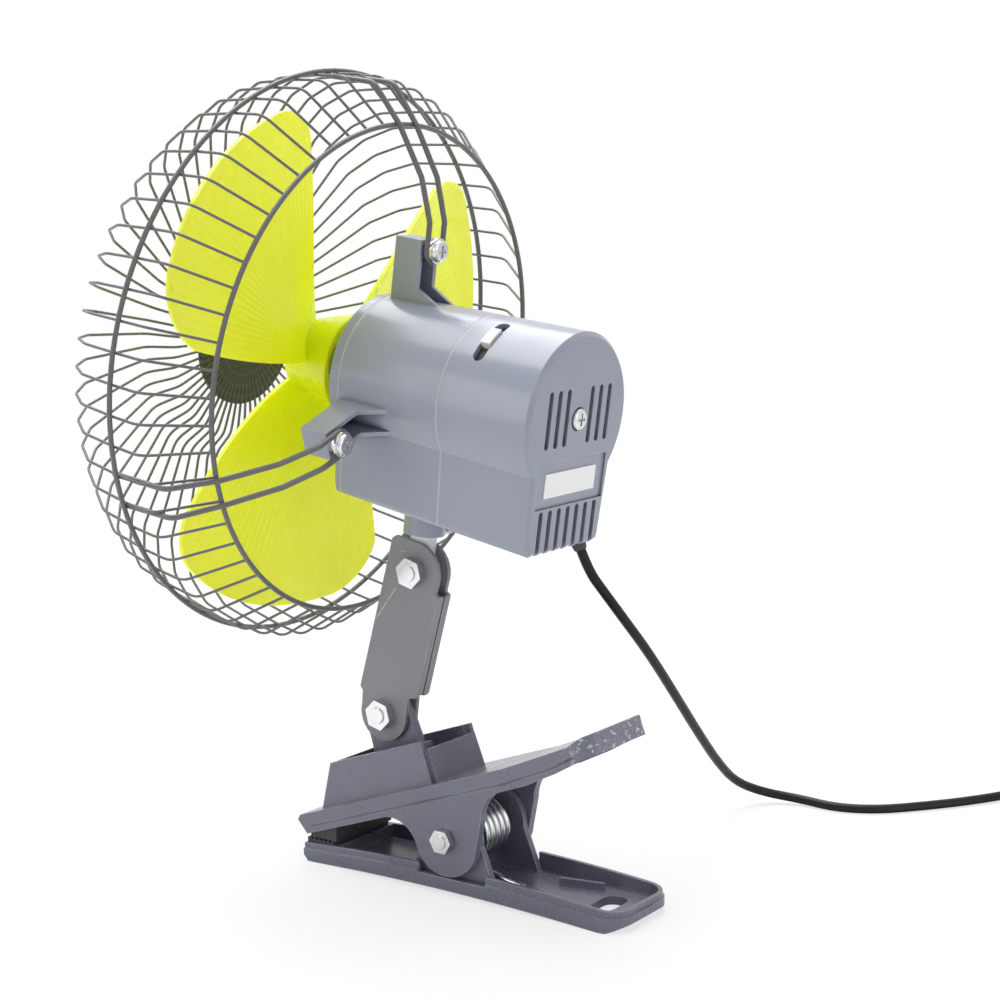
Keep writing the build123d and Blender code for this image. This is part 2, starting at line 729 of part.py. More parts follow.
def arm_outline():
    """The cheek's outline in (v, u), v towards the handles."""
    w = ARM_HALF_WIDTH
    top = ARM_LENGTH
    rear_low = LIP_REAR_LOW
    rear_top = top - LIP_REAR_TOP_DROP
    foot = ARM_FOOT_R
    crown = ARM_TOP_R
    return [
        ThreePointArc((-foot, 0), (0, -foot), (foot, 0)),
        Line((foot, 0), (foot - 1.4, rear_low - 1.8)),
        Line((foot - 1.4, rear_low - 1.8), (w - 0.6, rear_low - 0.6)),
        Line((w - 0.6, rear_low - 0.6), (w, rear_low + 0.5)),
        Line((w, rear_low + 0.5), (w, rear_top - 0.5)),
        Line((w, rear_top - 0.5), (crown, rear_top + 0.2)),
        Line((crown, rear_top + 0.2), (crown, top)),
        ThreePointArc((crown, top), (crown * 0.707, top + crown * 0.707), (0, top + crown)),
        Line((0, top + crown), (1.6 - w, top + crown - 0.9)),
        Line((1.6 - w, top + crown - 0.9), (-w + 0.3, top + crown - 2.2)),
        Line((-w + 0.3, top + crown - 2.2), (-w, LIP_FRONT_LOW)),
        Line((-w, LIP_FRONT_LOW), (-foot - 0.9, LIP_FRONT_LOW - 1.2)),
        Line((-foot - 0.9, LIP_FRONT_LOW - 1.2), (-foot, 0)),
    ]


def arm_half():
    """The nut-side half of the arm: a flat cheek with a lip along each long edge."""
    outer, inner = ARM_HALF_THICK, ARM_HALF_THICK - ARM_PLATE
    half = plate_of(arm_outline(), inner, outer)
    w = ARM_HALF_WIDTH
    rear_top = ARM_LENGTH - LIP_REAR_TOP_DROP
    front_top = ARM_LENGTH + ARM_TOP_R - 3.0
    low_x = ARM_SEAM / 2
    half += block(low_x, inner + 0.2, w - ARM_LIP, w, LIP_REAR_LOW + 0.6, rear_top - 0.6)
    half += block(low_x, inner + 0.2, -w, -w + ARM_LIP, LIP_FRONT_LOW + 0.2, front_top - ARM_TOP_R)
    for u in (0, ARM_LENGTH):
        half -= rod_x(ARM_BOLT_R + SEAT, 0, outer + 1, 0, u)
    return half


def arm_bolt():
    """One bolt of the arm: round head on the far side."""
    head = rod_x(ARM_BOLT_R * 1.75, -ARM_HALF_THICK - SEAT - BOLT_HEAD_H, -ARM_HALF_THICK - SEAT)
    head = fillet(head.edges().filter_by(GeomType.CIRCLE).sort_by(Axis.X)[0], 1.4)
    shank = rod_x(ARM_BOLT_R, -ARM_HALF_THICK - SEAT, ARM_HALF_THICK + ARM_NUT_H + 0.7)
    return head + shank


def arm_bolts():
    return [arm_frame(Pos(0, 0, u) * arm_bolt()) for u in (0, ARM_LENGTH)]


def arm_nuts():
    x = ARM_HALF_THICK + SEAT
    nut = nut_x(ARM_NUT_AF, x, x + ARM_NUT_H, ARM_BOLT_R + SEAT)
    return [arm_frame(Pos(0, 0, u) * nut) for u in (0, ARM_LENGTH)]


# ---------------------------------------------------------------- neck and linkage


def swivel_neck():
    """The nylon swivel: a tang on the tilt bolt, a collar, and a post up into the head."""
    half = ARM_HALF_THICK - ARM_PLATE - GAP
    low = -NECK_DROP
    tang = rod_x(TANG_HALF_WIDTH + 3.2, -half, half, NECK_Y, low)
    front, rear = NECK_Y - TANG_HALF_WIDTH, NECK_Y + TANG_HALF_WIDTH
    tang += block(-half, half, front, rear, low, low + COLLAR_LOW + 0.5)
    collar = rod_z(TANG_HALF_WIDTH + 0.3, low + COLLAR_LOW, BOSS_LOW_Z - 0.2, 0, NECK_Y)
    post = rod_z(POST_R, low + COLLAR_LOW, BOSS_TOP_Z + 0.1, 0, NECK_Y)
    lug_low = low + COLLAR_LOW
    lug_top = lug_low + LUG_THICK
    lug = block(-LUG_OUT, 0, NECK_Y - 3, NECK_Y + 3, lug_low, lug_top)
    lug += rod_z(3, lug_low, lug_top, -LUG_OUT, NECK_Y)
    stud = rod_z(STUD_R, lug_low + 0.2, LINK_LOW_Z + LINK_THICK + 0.8, -LUG_OUT, NECK_Y)
    neck = tang + collar + post + lug + stud
    neck -= rod_x(ARM_BOLT_R + FIT, -20, 20, NECK_Y, low)
    return neck - rod_z(1.6, BOSS_TOP_Z - 8, BOSS_TOP_Z + 1, 0, NECK_Y)


def neck_screw():
    """The screw and washer that keep the post in the head's boss."""
    base = BOSS_TOP_Z + 0.1
    washer = rod_z(POST_R + 2.2, base, base + 1.0, 0, NECK_Y)
    head = rod_z(3.0, base + 1.0, base + 3.0, 0, NECK_Y)
    shank = rod_z(1.6 - SEAT, BOSS_TOP_Z - 7.5, base + 1.0, 0, NECK_Y)
    return washer + head + shank


def link_heading():
    """The swing link's direction from the stud to the crank's pin, from +Y towards +X."""
    to_crank = math.hypot(LUG_OUT, CRANK_BACK)
    cosine = (LINK_LENGTH**2 + to_crank**2 - CRANK_PIN_R**2) / (2 * LINK_LENGTH * to_crank)
    return math.degrees(math.atan2(LUG_OUT, CRANK_BACK) - math.acos(cosine))


def swing_link():
    """The bent strip between the neck's stud and the crank; its crank end is the open pivot."""
    h = LINK_HALF_WIDTH
    t = LINK_THICK
    low, high = LINK_LOW_Z, LINK_HIGH_Z
    side = [
        (0, low),
        (3.6, low),
        (3.6 + (high - low) * 0.8, high),
        (LINK_LENGTH, high),
        (LINK_LENGTH, high + t),
        (3.2 + (high - low) * 0.8 - 0.3, high + t),
        (3.2 - 0.3, low + t),
        (0, low + t),
    ]
    strip = plate(side, -h, h)
    strip += rod_z(h, low, low + t) + rod_z(h, high, high + t, 0, LINK_LENGTH)
    strip += rod_z(1.9, high - 0.8, high + 0.1, 0, LINK_LENGTH)
    strip -= rod_z(STUD_R + FIT, low - 1, low + t + 1)
    return Pos(-LUG_OUT, NECK_Y, 0) * Rot(0, 0, -link_heading()) * strip


# ---------------------------------------------------------------- housing


def drop_at(y, inset):
    """How far the box's underside lies below the motor axis at y."""
    share = (y - HOUSING_FRONT_Y) / (HOUSING_REAR_Y - HOUSING_FRONT_Y)
    return BOX_FRONT_DROP + (BOX_REAR_DROP - BOX_FRONT_DROP) * share - inset


def radius_at(y, inset=0.0):
    """The barrel's radius at y."""
    share = (y - HOUSING_FRONT_Y) / (HOUSING_REAR_Y - HOUSING_FRONT_Y)
    return BARREL_FRONT_R + (BARREL_REAR_R - BARREL_FRONT_R) * share - inset


def box_section(y, inset):
    """The lower box's cross-section at y, as a face facing +Y."""
    low = -drop_at(y, inset)
    top_half, low_half = BOX_HALF_TOP - inset, BOX_HALF_LOW - inset
    outline = Polyline(
        (-top_half, BOX_TOP_Z), (top_half, BOX_TOP_Z), (low_half, low), (-low_half, low), close=True
    )
    face = make_face(outline)
    face = fillet(face.vertices().sort_by(Axis.Y)[:2], BOX_CORNER)
    return Plane(origin=(0, y, 0), x_dir=(1, 0, 0), z_dir=(0, -1, 0)) * face


def housing_form(y0, y1, inset):
    """The housing's outer form, or its hollow, between two planes along the motor axis."""
    barrel = cone_y(radius_at(y0, inset), radius_at(y1, inset), y0, y1)
    box = loft([box_section(y0, inset), box_section(y1, inset)], ruled=True)
    return barrel + box


def ear_solid():
    """One channel ear at angle 0: along +X, open to the rear, with its screw boss."""
    r0 = BARREL_FRONT_R - 4
    h = EAR_HALF_WIDTH
    rear = EAR_SCREW_Y - 1.2
    outline = [
        (r0, EAR_FRONT_Y),
        (EAR_OUT, EAR_FRONT_Y),
        (EAR_OUT, rear),
        (EAR_FLARE_R, rear),
        (BARREL_FRONT_R, EAR_FLARE_Y),
        (r0, EAR_FLARE_Y),
    ]
    side = make_face(Polyline(*outline, close=True))
    outer = extrude(side, h, both=True)
    inner_pts = [
        (r0, EAR_FRONT_Y + EAR_WALL),
        (EAR_OUT - EAR_WALL, EAR_FRONT_Y + EAR_WALL),
        (EAR_OUT - EAR_WALL, EAR_FLARE_Y + 9),
        (r0, EAR_FLARE_Y + 9),
    ]
    inner = extrude(make_face(Polyline(*inner_pts, close=True)), h - EAR_WALL, both=True)
    boss = rod_y(EAR_BOSS_R, EAR_FRONT_Y, EAR_SCREW_Y, EAR_SCREW_R)
    boss &= block(0, EAR_OUT, 0, 100, -h, h)
    ear = outer - inner + boss
    return ear - rod_y(EAR_SCREW_SHANK_R + SEAT, EAR_FRONT_Y + 2, EAR_SCREW_Y + 5, EAR_SCREW_R)


def bulkhead(y0, y1):
    """A ring wall inside the barrel that holds the motor."""
    disc = rod_y(radius_at(y0, HOUSING_WALL) + 0.4, y0, y1) & block(-50, 50, y0, y1, BULKHEAD_LOW_Z, 50)
    return disc - rod_y(MOTOR_R + SEAT, y0 - 1, y1 + 1)


def bracket_posts(y_values, x_values):
    """Posts under the gear bracket."""
    posts = []
    for x, y in zip(x_values, y_values):
        posts.append(rod_z(3.0, -drop_at(y, HOUSING_WALL) - 0.5, BRACKET_Z, x, y))
    return posts


def crank_axis():
    """Where the crank stands: x, y in the head's frame."""
    return (0.0, NECK_Y + CRANK_BACK)


def pinion_axis():
    """Where the worm wheel and pinion stand: at the gears' centre distance from the crank."""
    distance = GEAR_MODULE * (PINION_TEETH + GEAR_TEETH) / 2
    back = math.sqrt(distance**2 - PINION_SIDE**2)
    return (-PINION_SIDE, NECK_Y + CRANK_BACK + back)


def front_housing():
    """The front half: barrel and box with the three ears, the motor's walls and the neck boss."""
    body = housing_form(HOUSING_FRONT_Y, SEAM_Y, 0)
    edge = [e for e in body.edges() if e.center().Y < HOUSING_FRONT_Y + 0.1 and e.center().Z < -20]
    body = chamfer(edge, 2.0)
    ear = ear_solid()
    for angle in EAR_ANGLES:
        body += about_axis(ear, angle)
    hollow = housing_form(HOUSING_FRONT_Y + HOUSING_WALL, SEAM_Y + 1, HOUSING_WALL)
    body -= hollow
    body -= rod_y(MOTOR_BOSS_R + 1.5, HOUSING_FRONT_Y - 1, HOUSING_FRONT_Y + HOUSING_WALL + 1)
    for y in (MOTOR_FRONT_Y + 4, SEAM_Y - 8):
        body += bulkhead(y, y + BULKHEAD)
    body += rod_z(BOSS_R, BOSS_LOW_Z, BOSS_TOP_Z, 0, NECK_Y)
    for post in bracket_posts((64.0, 64.0), (-18.2, 18.2)):
        body += post
    cx, cy = crank_axis()
    boss_low = -drop_at(cy, 0)
    boss = rod_z(GEAR_SHAFT_R + 1.6, boss_low + 0.5, GEAR_LOW_Z - 1.0, cx, cy)
    body += boss & block(-9, 9, 0, SEAM_Y, -99, 99)
    body -= rod_z(GEAR_SHAFT_R + FIT, -60, GEAR_LOW_Z + 1, cx, cy)
    return body - rod_z(POST_R + FIT, BOSS_LOW_Z - 1, BOSS_TOP_Z + 1, 0, NECK_Y)


def arc_band(r0, r1, y0, y1, from_angle, to_angle):
    """A band about the motor axis between two radii, two planes and two angles."""
    span = to_angle - from_angle
    face = make_face(Polyline((r0, y0), (r1, y0), (r1, y1), (r0, y1), close=True))
    return about_axis(revolve(face, Axis.Y, revolution_arc=span), to_angle)


def slot_cut():
    """The curved slot with round ends."""
    half = SLOT_WIDE / 2
    end_angle = math.degrees(half / BARREL_REAR_R)
    cut = arc_band(20, 40, SLOT_Y - half, SLOT_Y + half, SLOT_FROM + end_angle, SLOT_TO - end_angle)
    for angle in (SLOT_FROM + end_angle, SLOT_TO - end_angle):
        cut += about_axis(rod_x(half, 20, 40, SLOT_Y, 0), angle)
    return cut


def rear_vents():
    """Upright slots on both sides of the rear screw, and the fins' slots at the bottom."""
    cuts = []
    y = HOUSING_REAR_Y
    for x in VENT_X:
        for sign in (-1, 1):
            slot = Rot(90, 0, 0) * extrude(SlotOverall(2 * VENT_HALF, VENT_WIDE, rotation=90), 6, both=True)
            cuts.append(Pos(sign * x, y, VENT_RISE) * slot)
    for n in range(FIN_COUNT):
        x = (n - (FIN_COUNT - 1) / 2) * FIN_PITCH
        half = VENT_WIDE / 2
        cuts.append(block(x - half, x + half, y - FIN_DEEP, y + 1, -BOX_REAR_DROP - 2, FIN_TOP_Z - half))
        cuts.append(rod_y(half, y - FIN_DEEP, y + 1, x, FIN_TOP_Z - half))
    return cuts


def rear_cover():
    """The rear half: slot for the speed slide, vents, plate recess and the cord's hole."""
    body = housing_form(SEAM_Y, HOUSING_REAR_Y, 0)
    rim = [e for e in body.edges() if e.center().Y > HOUSING_REAR_Y - 0.01]
    body = chamfer(rim, REAR_BEVEL)
    body -= housing_form(SEAM_Y - 1, HOUSING_REAR_Y - HOUSING_WALL, HOUSING_WALL)
    y = HOUSING_REAR_Y
    body -= block(-PANEL_HALF, PANEL_HALF, y - PANEL_DEPTH, y + 1, PANEL_LOW_Z, PANEL_TOP_Z)
    for cut in rear_vents():
        body -= cut
    body -= slot_cut()
    body -= rod_y(4.2, y - 1.2, y + 1)
    body += rod_y(4.0, MOTOR_REAR_Y + WORM_LENGTH + 8.0, y - 1.2)
    body -= rod_y(EAR_SCREW_SHANK_R + SEAT, MOTOR_REAR_Y + WORM_LENGTH + 12, y + 1)
    px, py = pinion_axis()
    body += rod_z(GEAR_SHAFT_R + 1.6, -drop_at(py, HOUSING_WALL) - 0.5, GEAR_LOW_Z - 1.0, px, py)
    body -= rod_z(GEAR_SHAFT_R + FIT, -drop_at(py, 1.0) + 0.6, GEAR_LOW_Z, px, py)
    for post in bracket_posts((94.0,), (18.2,)):
        body += post
    post = polar(20.5, (KNOB_FROM + KNOB_TO) / 2)
    body += rod_y(3.0, SLOT_Y + 5.0, y - 1.0, post.X, post.Z)
    return body - gland_frame(rod_z(GLAND_R, -10, 10))


def rear_screw():
    """The screw in the middle of the rear face."""
    y = HOUSING_REAR_Y - 1.2
    head = rod_y(EAR_SCREW_HEAD_R - 0.2, y, y + EAR_SCREW_HEAD_H)
    head = fillet(head.edges().filter_by(GeomType.CIRCLE).sort_by(Axis.Y)[-1], 1.0)
    head -= cross_recess(y + EAR_SCREW_HEAD_H)
    return head + rod_y(EAR_SCREW_SHANK_R, MOTOR_REAR_Y + WORM_LENGTH + 13, y)


def cross_recess(y):
    """A cross recess in a screw head that faces +Y."""
    return block(-2.2, 2.2, y - 1.2, y + 1, -0.5, 0.5) + block(-0.5, 0.5, y - 1.2, y + 1, -2.2, 2.2)


def ear_screws():
    """The three screws whose washers hold the guard's legs."""
    base = EAR_SCREW_Y
    washer_top = base + 2 * LEG_WIRE_R + 0.1
    head = rod_y(EAR_SCREW_HEAD_R, washer_top, washer_top + EAR_SCREW_HEAD_H)
    head = fillet(head.edges().filter_by(GeomType.CIRCLE).sort_by(Axis.Y)[-1], 1.1)
    head -= cross_recess(washer_top + EAR_SCREW_HEAD_H)
    neck = rod_y(LEG_HALF_AT_SCREW - LEG_WIRE_R - 0.1, base, washer_top)
    flange = rod_y(EAR_SCREW_HEAD_R + 0.6, washer_top - 0.02, washer_top + 0.8)
    shank = rod_y(EAR_SCREW_SHANK_R, EAR_FRONT_Y + 3, base)
    screw = head + neck + flange + shank
    return [about_axis(Pos(EAR_SCREW_R, 0, 0) * screw, angle) for angle in EAR_ANGLES]


def rating_plate():
    """The bare white plate on the rear face."""
    y = HOUSING_REAR_Y - PANEL_DEPTH
    w, h = PLATE_SIZE
    return block(-w / 2, w / 2, y, y + PLATE_THICK, PLATE_Z - h / 2, PLATE_Z + h / 2)


# ---------------------------------------------------------------- speed slide


def slide_radius():
    """The inside of the rear cover at the slot."""
    return radius_at(SLOT_Y, HOUSING_WALL)


def speed_slide():
    """The black curved strip that runs under the slot and closes it."""
    r1 = slide_radius() - GAP
    half = SLOT_WIDE / 2 + SLIDE_SIDE
    return arc_band(
        r1 - SLIDE_THICK, r1, SLOT_Y - half, SLOT_Y + half, SLOT_FROM - SLIDE_MARGIN, SLOT_TO + SLIDE_MARGIN
    )


def slide_knob():
    """The pale finger piece in the slot."""
    half = SLOT_WIDE / 2 - GAP
    inner = slide_radius() - GAP
    return arc_band(inner, BARREL_REAR_R + KNOB_PROUD, SLOT_Y - half, SLOT_Y + half, KNOB_FROM, KNOB_TO)


def speed_switch():
    """The switch body under the slide, on its post."""
    half = SWITCH_LENGTH / 2
    outer = math.sqrt((slide_radius() - 2 * GAP - SLIDE_THICK) ** 2 - half**2)
    middle = (KNOB_FROM + KNOB_TO) / 2
    front, rear = SLOT_Y - SWITCH_WIDE / 2, SLOT_Y + SWITCH_WIDE / 2
    body = block(outer - SWITCH_DEEP, outer, front, rear, -half, half)
    return about_axis(body, middle)


# ---------------------------------------------------------------- motor and gears


def motor_can():
    """The steel can, closed in front by its own face."""
    can = rod_y(MOTOR_R, MOTOR_FRONT_Y, MOTOR_REAR_Y - 3) - rod_y(
        MOTOR_R - MOTOR_WALL, MOTOR_FRONT_Y + MOTOR_WALL, MOTOR_REAR_Y
    )
    can += rod_y(MOTOR_BOSS_R, MOTOR_FRONT_Y - 4, MOTOR_FRONT_Y)
    return can - rod_y(SHAFT_R + FIT, 0, 200)


def motor_end():
    """The plastic end plate with the rear bearing."""
    plate_end = rod_y(MOTOR_R, MOTOR_REAR_Y - 3 + SEAT, MOTOR_REAR_Y)
    plate_end += rod_y(MOTOR_R - MOTOR_WALL - SEAT, MOTOR_REAR_Y - 6, MOTOR_REAR_Y - 3 + SEAT)
    plate_end += rod_y(MOTOR_BOSS_R - 1.5, MOTOR_REAR_Y, MOTOR_REAR_Y + 3)
    return plate_end - rod_y(SHAFT_R + FIT, 0, 200)


def motor_magnets():
    """Two curved magnets inside the can, one on each side."""
    outer = MOTOR_R - MOTOR_WALL
    y0, y1 = MOTOR_FRONT_Y + 8, MOTOR_REAR_Y - 12
    ring = rod_y(outer, y0, y1) - rod_y(outer - MAGNET_THICK, y0 - 1, y1 + 1)
    right = ring & block(MAGNET_APART, 40, y0, y1, -40, 40)
    left = ring & block(-40, -MAGNET_APART, y0, y1, -40, 40)
    return [right, left]


def armature():
    """The wound core on the shaft, with its slots, and the commutator."""
    r = MOTOR_R - MOTOR_WALL - MAGNET_THICK - ARMATURE_CLEAR
    y0, y1 = MOTOR_FRONT_Y + 10, MOTOR_REAR_Y - 14
    core = rod_y(r, y0, y1)
    for n in range(5):
        core -= about_axis(block(r - 4, r + 1, y0 - 1, y1 + 1, -1.2, 1.2), 72 * n)
    core += rod_y(5.0, y1, MOTOR_REAR_Y - 7)
    return core - rod_y(SHAFT_R, 0, 200)


def motor_shaft():
    """The shaft from the propeller's nut to the worm."""
    return rod_y(SHAFT_R, HUB_FRONT_Y - 6, MOTOR_REAR_Y + WORM_LENGTH + 5)


def worm():
    """The worm on the shaft's rear end, with its thread as close rings."""
    y0 = MOTOR_REAR_Y + 4.5
    body = rod_y(WORM_R, y0, y0 + WORM_LENGTH) - rod_y(SHAFT_R, 0, 200)
    for n in range(4):
        groove_y = y0 + 2.0 + 2.0 * n
        body -= rod_y(WORM_R + 1, groove_y, groove_y + 0.8) - rod_y(WORM_R - 0.5, 0, 200)
    return body


def toothed(teeth, pitch_r, addendum, dedendum, thick_share, width):
    """A gear about Z: straight-sided teeth, each drawn by four points."""
    pitch = 360 / teeth
    tip, root = pitch_r + addendum, pitch_r - dedendum
    points = []
    for n in range(teeth):
        centre = n * pitch
        for r, share in ((root, -0.5), (tip, -0.27), (tip, 0.27), (root, 0.5)):
            angle = math.radians(centre + pitch * share * thick_share)
            points.append((r * math.cos(angle), r * math.sin(angle)))
    return extrude(make_face(Polyline(*points, close=True)), width)


def spur_gear(teeth):
    """A gear about Z with standard proportions for its module."""
    module = GEAR_MODULE
    return toothed(teeth, teeth * module / 2, module * 0.7, module * 1.05, GEAR_TOOTH_SHARE, GEAR_WIDE)


def worm_wheel():
    """The wheel that the worm turns; it stands clear of the thread by a running gap."""
    px, py = pinion_axis()
    wheel = toothed(WHEEL_TEETH, WHEEL_R - 0.5, 0.5, 0.6, 0.7, WHEEL_WIDE)
    wheel = Pos(px, py, -WHEEL_WIDE / 2) * wheel
    return wheel - rod_z(GEAR_SHAFT_R, -60, 60, px, py)


def pinion_shaft():
    """The upright shaft with its pinion."""
    px, py = pinion_axis()
    pinion = spur_gear(PINION_TEETH)
    bottom = -drop_at(py, 1.0) + 0.8
    shaft = rod_z(GEAR_SHAFT_R, bottom, WHEEL_WIDE / 2 + 2, px, py)
    return shaft + Pos(px, py, GEAR_LOW_Z) * pinion


def crank_gear():
    """The large gear on the crank's shaft, in mesh with the pinion."""
    cx, cy = crank_axis()
    px, py = pinion_axis()
    gear = spur_gear(GEAR_TEETH)
    # at rest a gap of the large gear faces a tooth of the pinion
    toward = math.degrees(math.atan2(py - cy, px - cx))
    back = toward + 180
    pinion_pitch = 360 / PINION_TEETH
    phase = (back / pinion_pitch) % 1.0
    turn = toward + 180 / GEAR_TEETH + phase * 360 / GEAR_TEETH
    gear = Pos(cx, cy, GEAR_LOW_Z) * Rot(0, 0, turn) * gear
    return gear - rod_z(GEAR_SHAFT_R, -90, 0, cx, cy)


def crank():
    """The crank's shaft and the round crank plate under the housing."""
    cx, cy = crank_axis()
    top = LINK_HIGH_Z + LINK_THICK + GAP + CRANK_THICK
    disc = rod_z(CRANK_R, top - CRANK_THICK, top, cx, cy)
    disc = fillet(disc.edges().filter_by(GeomType.CIRCLE).sort_by(Axis.Z)[0], 0.6)
    return disc + rod_z(GEAR_SHAFT_R, top - 0.5, BRACKET_Z + BRACKET_THICK + 0.5, cx, cy)


def gear_bracket():
    """The plate over the gears that guides both shafts."""
    cx, cy = crank_axis()
    px, py = pinion_axis()
    low, top = BRACKET_Z, BRACKET_Z + BRACKET_THICK
    body = block(-20.0, 20.0, NECK_Y + 2.5, py + 4, low, top)
    for x, y in ((cx, cy), (px, py)):
        body += rod_z(GEAR_SHAFT_R + 2, low, top + 1.0, x, y)
        body -= rod_z(GEAR_SHAFT_R + FIT, low - 1, top + 2, x, y)
    return body


# ---------------------------------------------------------------- propeller and guard


def blade_section(r, chord, pitch_angle, middle_y):
    """A thin cambered strip at radius r, square to the radius, as a face."""
    half = chord / 2
    camber = chord * 0.04
    t = BLADE_THICK
    plane = Plane(origin=(r, middle_y, 0), x_dir=(0, 0, 1), z_dir=(1, 0, 0))
    edges = [
        ThreePointArc((-half, 0), (0, camber), (half, 0)),
        Line((half, 0), (half, t)),
        ThreePointArc((half, t), (0, camber + t), (-half, t)),
        Line((-half, t), (-half, 0)),
    ]
    return plane * Rot(0, 0, pitch_angle) * make_face(edges)


def blade_plan():
    """The blade's outline seen along the shaft: root at the hub, wide and round at the tip."""
    span = BLADE_SPAN_ANGLE / 2
    inner = HUB_FRONT_R - 2
    tip = BLADE_TIP_R

    def at(r, angle):
        point = polar(r, angle)
        return (point.X, point.Z)

    edges = [
        ThreePointArc(at(inner, -span), at(tip * 0.55, -span * 0.98), at(tip - 16, -span * 0.92)),
        ThreePointArc(at(tip - 16, -span * 0.92), at(tip - 6, -span * 0.78), at(tip - 0.8, -span * 0.5)),
        ThreePointArc(at(tip - 0.8, -span * 0.5), at(tip, 0), at(tip - 0.3, span * 0.6)),
        ThreePointArc(at(tip - 0.3, span * 0.6), at(tip - 5, span * 0.78), at(tip - 17, span * 0.87)),
        ThreePointArc(at(tip - 17, span * 0.87), at(tip * 0.55, span * 0.95), at(inner, span)),
        Line(at(inner, span), at(inner, -span)),
    ]
    plane = Plane(origin=(0, 40, 0), x_dir=(1, 0, 0), z_dir=(0, -1, 0))
    return extrude(plane * make_face(edges), 80)


def propeller():
    """Hub cup and twisted blades in one piece."""
    sections = [
        blade_section(6, 62, 34, 8),
        blade_section(50, 102, 10, 8),
        blade_section(BLADE_TIP_R + 4, 116, 3, 8),
    ]
    blade = loft(sections) & blade_plan()
    cup = turned([(0, HUB_FRONT_Y), (HUB_FRONT_R, HUB_FRONT_Y), (HUB_R, HUB_REAR_Y), (0, HUB_REAR_Y)])
    hollow = turned(
        [
            (0, HUB_FRONT_Y + 3),
            (HUB_FRONT_R - HUB_WALL, HUB_FRONT_Y + 3),
            (HUB_R - HUB_WALL, HUB_REAR_Y + 1),
            (0, HUB_REAR_Y + 1),
        ]
    )
    wheel = cup
    for n in range(BLADES):
        wheel += about_axis(blade, BLADE_MIDDLE + 360 / BLADES * n)
    wheel -= hollow
    wheel += rod_y(SHAFT_R + 3, HUB_FRONT_Y, HUB_REAR_Y - 4)
    return wheel - rod_y(SHAFT_R, -20, 60)


def hub_nut():
    """The nut that holds the propeller on its shaft."""
    nut = Rot(0, 0, 90) * nut_x(9.0, HUB_FRONT_Y - 4.5, HUB_FRONT_Y, SHAFT_R)
    return nut


def wire_path():
    """One guard wire in (r, y): from the badge over the step and the dome, back along the cage, to its ring."""
    front = -DOME_DEPTH
    return [
        (BADGE_R - 2.0, 1.2 - BADGE_DEPTH),
        (STEP_R - 4.5, 0.5 - BADGE_DEPTH),
        (STEP_R + 4.5, front),
        (CAGE_R - 21.3, front + 6.0),
        (CAGE_R - 10.3, front + 13.0),
        (CAGE_R - 3.0, front + 23.5),
        (CAGE_R, 0),
        (CAGE_R + SHOULDER_OUT, SHOULDER_Y),
        (REAR_RING_R, REAR_RING_Y),
    ]


def guard_wire():
    """One wire at angle 0, as a swept rod with rounded bends."""
    points = [(r, y, 0) for r, y in wire_path()]
    path = FilletPolyline(*points, radius=8.0)
    start = Plane(origin=path @ 0, z_dir=path % 0)
    return sweep(start * Circle(WIRE_R), path=path)


def ring_at(r, y, wire_r):
    """A round wire ring about the motor axis, closed half way between two guard wires."""
    ring = revolve(Pos(r, y) * Circle(wire_r), Axis.Y)
    return about_axis(ring, WIRE_PHASE + 180 / WIRE_COUNT)


def guard():
    """The welded cage: its wires with the outer ring and the rear ring."""
    wire = guard_wire()
    cage = [about_axis(wire, WIRE_PHASE + 360 / WIRE_COUNT * n) for n in range(WIRE_COUNT)]
    outer = ring_at(RING_R - 0.1, 0, RING_WIRE_R)
    rear = ring_at(REAR_RING_R, REAR_RING_Y, REAR_RING_WIRE_R)
    return outer.fuse(rear, *cage)


def guard_badge():
    """The round front cap, moulded round the wires' ends."""
    y = -BADGE_DEPTH
    body = rod_y(BADGE_R, y, y + BADGE_THICK)
    body = fillet(body.edges().filter_by(GeomType.CIRCLE).sort_by(Axis.Y)[0], 1.0)
    wire = guard_wire()
    cutters = [about_axis(wire, WIRE_PHASE + 360 / WIRE_COUNT * n) for n in range(WIRE_COUNT)]
    return body.cut(*cutters)


def leg_path():
    """One U-shaped leg at angle 0: two strands from the outer ring, joined round the ear's screw."""
    y_screw = EAR_SCREW_Y + LEG_WIRE_R + 0.05
    cage = RING_R - 0.1 - RING_WIRE_R - LEG_WIRE_R + 0.1
    weld_y = REAR_RING_Y + REAR_RING_WIRE_R + LEG_WIRE_R - 0.1
    wide, slim = LEG_HALF_AT_RING, LEG_HALF_AT_SCREW
    strand = [
        (cage, -2.5, wide),
        (cage, 21.0, wide * 0.96),
        (REAR_RING_R, weld_y, slim + 0.5),
        (72.0, weld_y + 11.5, slim + 0.2),
        (57.0, y_screw, slim),
        (EAR_SCREW_R, y_screw, slim),
    ]
    back = [(r, y, -z) for r, y, z in reversed(strand)]
    first = FilletPolyline(*strand, radius=6.0)
    second = FilletPolyline(*back, radius=6.0)
    bend = ThreePointArc(strand[-1], (EAR_SCREW_R - slim, y_screw, 0), back[0])
    return first.edges() + [bend.edge()] + second.edges()


def guard_legs():
    leg = tube_along(leg_path(), LEG_WIRE_R)
    return [about_axis(leg, angle) for angle in EAR_ANGLES]


# ---------------------------------------------------------------- cord


def gland_frame(shape):
    """From the gland's frame, with -Z the way the cord leaves, to the head's frame."""
    place = Pos(CORD_EXIT_X, CORD_EXIT_Y, -drop_at(CORD_EXIT_Y, 0))
    return place * Rot(GLAND_BACK, GLAND_SIDE, 0) * shape


def below_gland(distance):
    """A point on the gland's axis, in the build frame."""
    return head_frame(gland_frame(Vertex(0, 0, -GLAND_OUT - distance))).center()


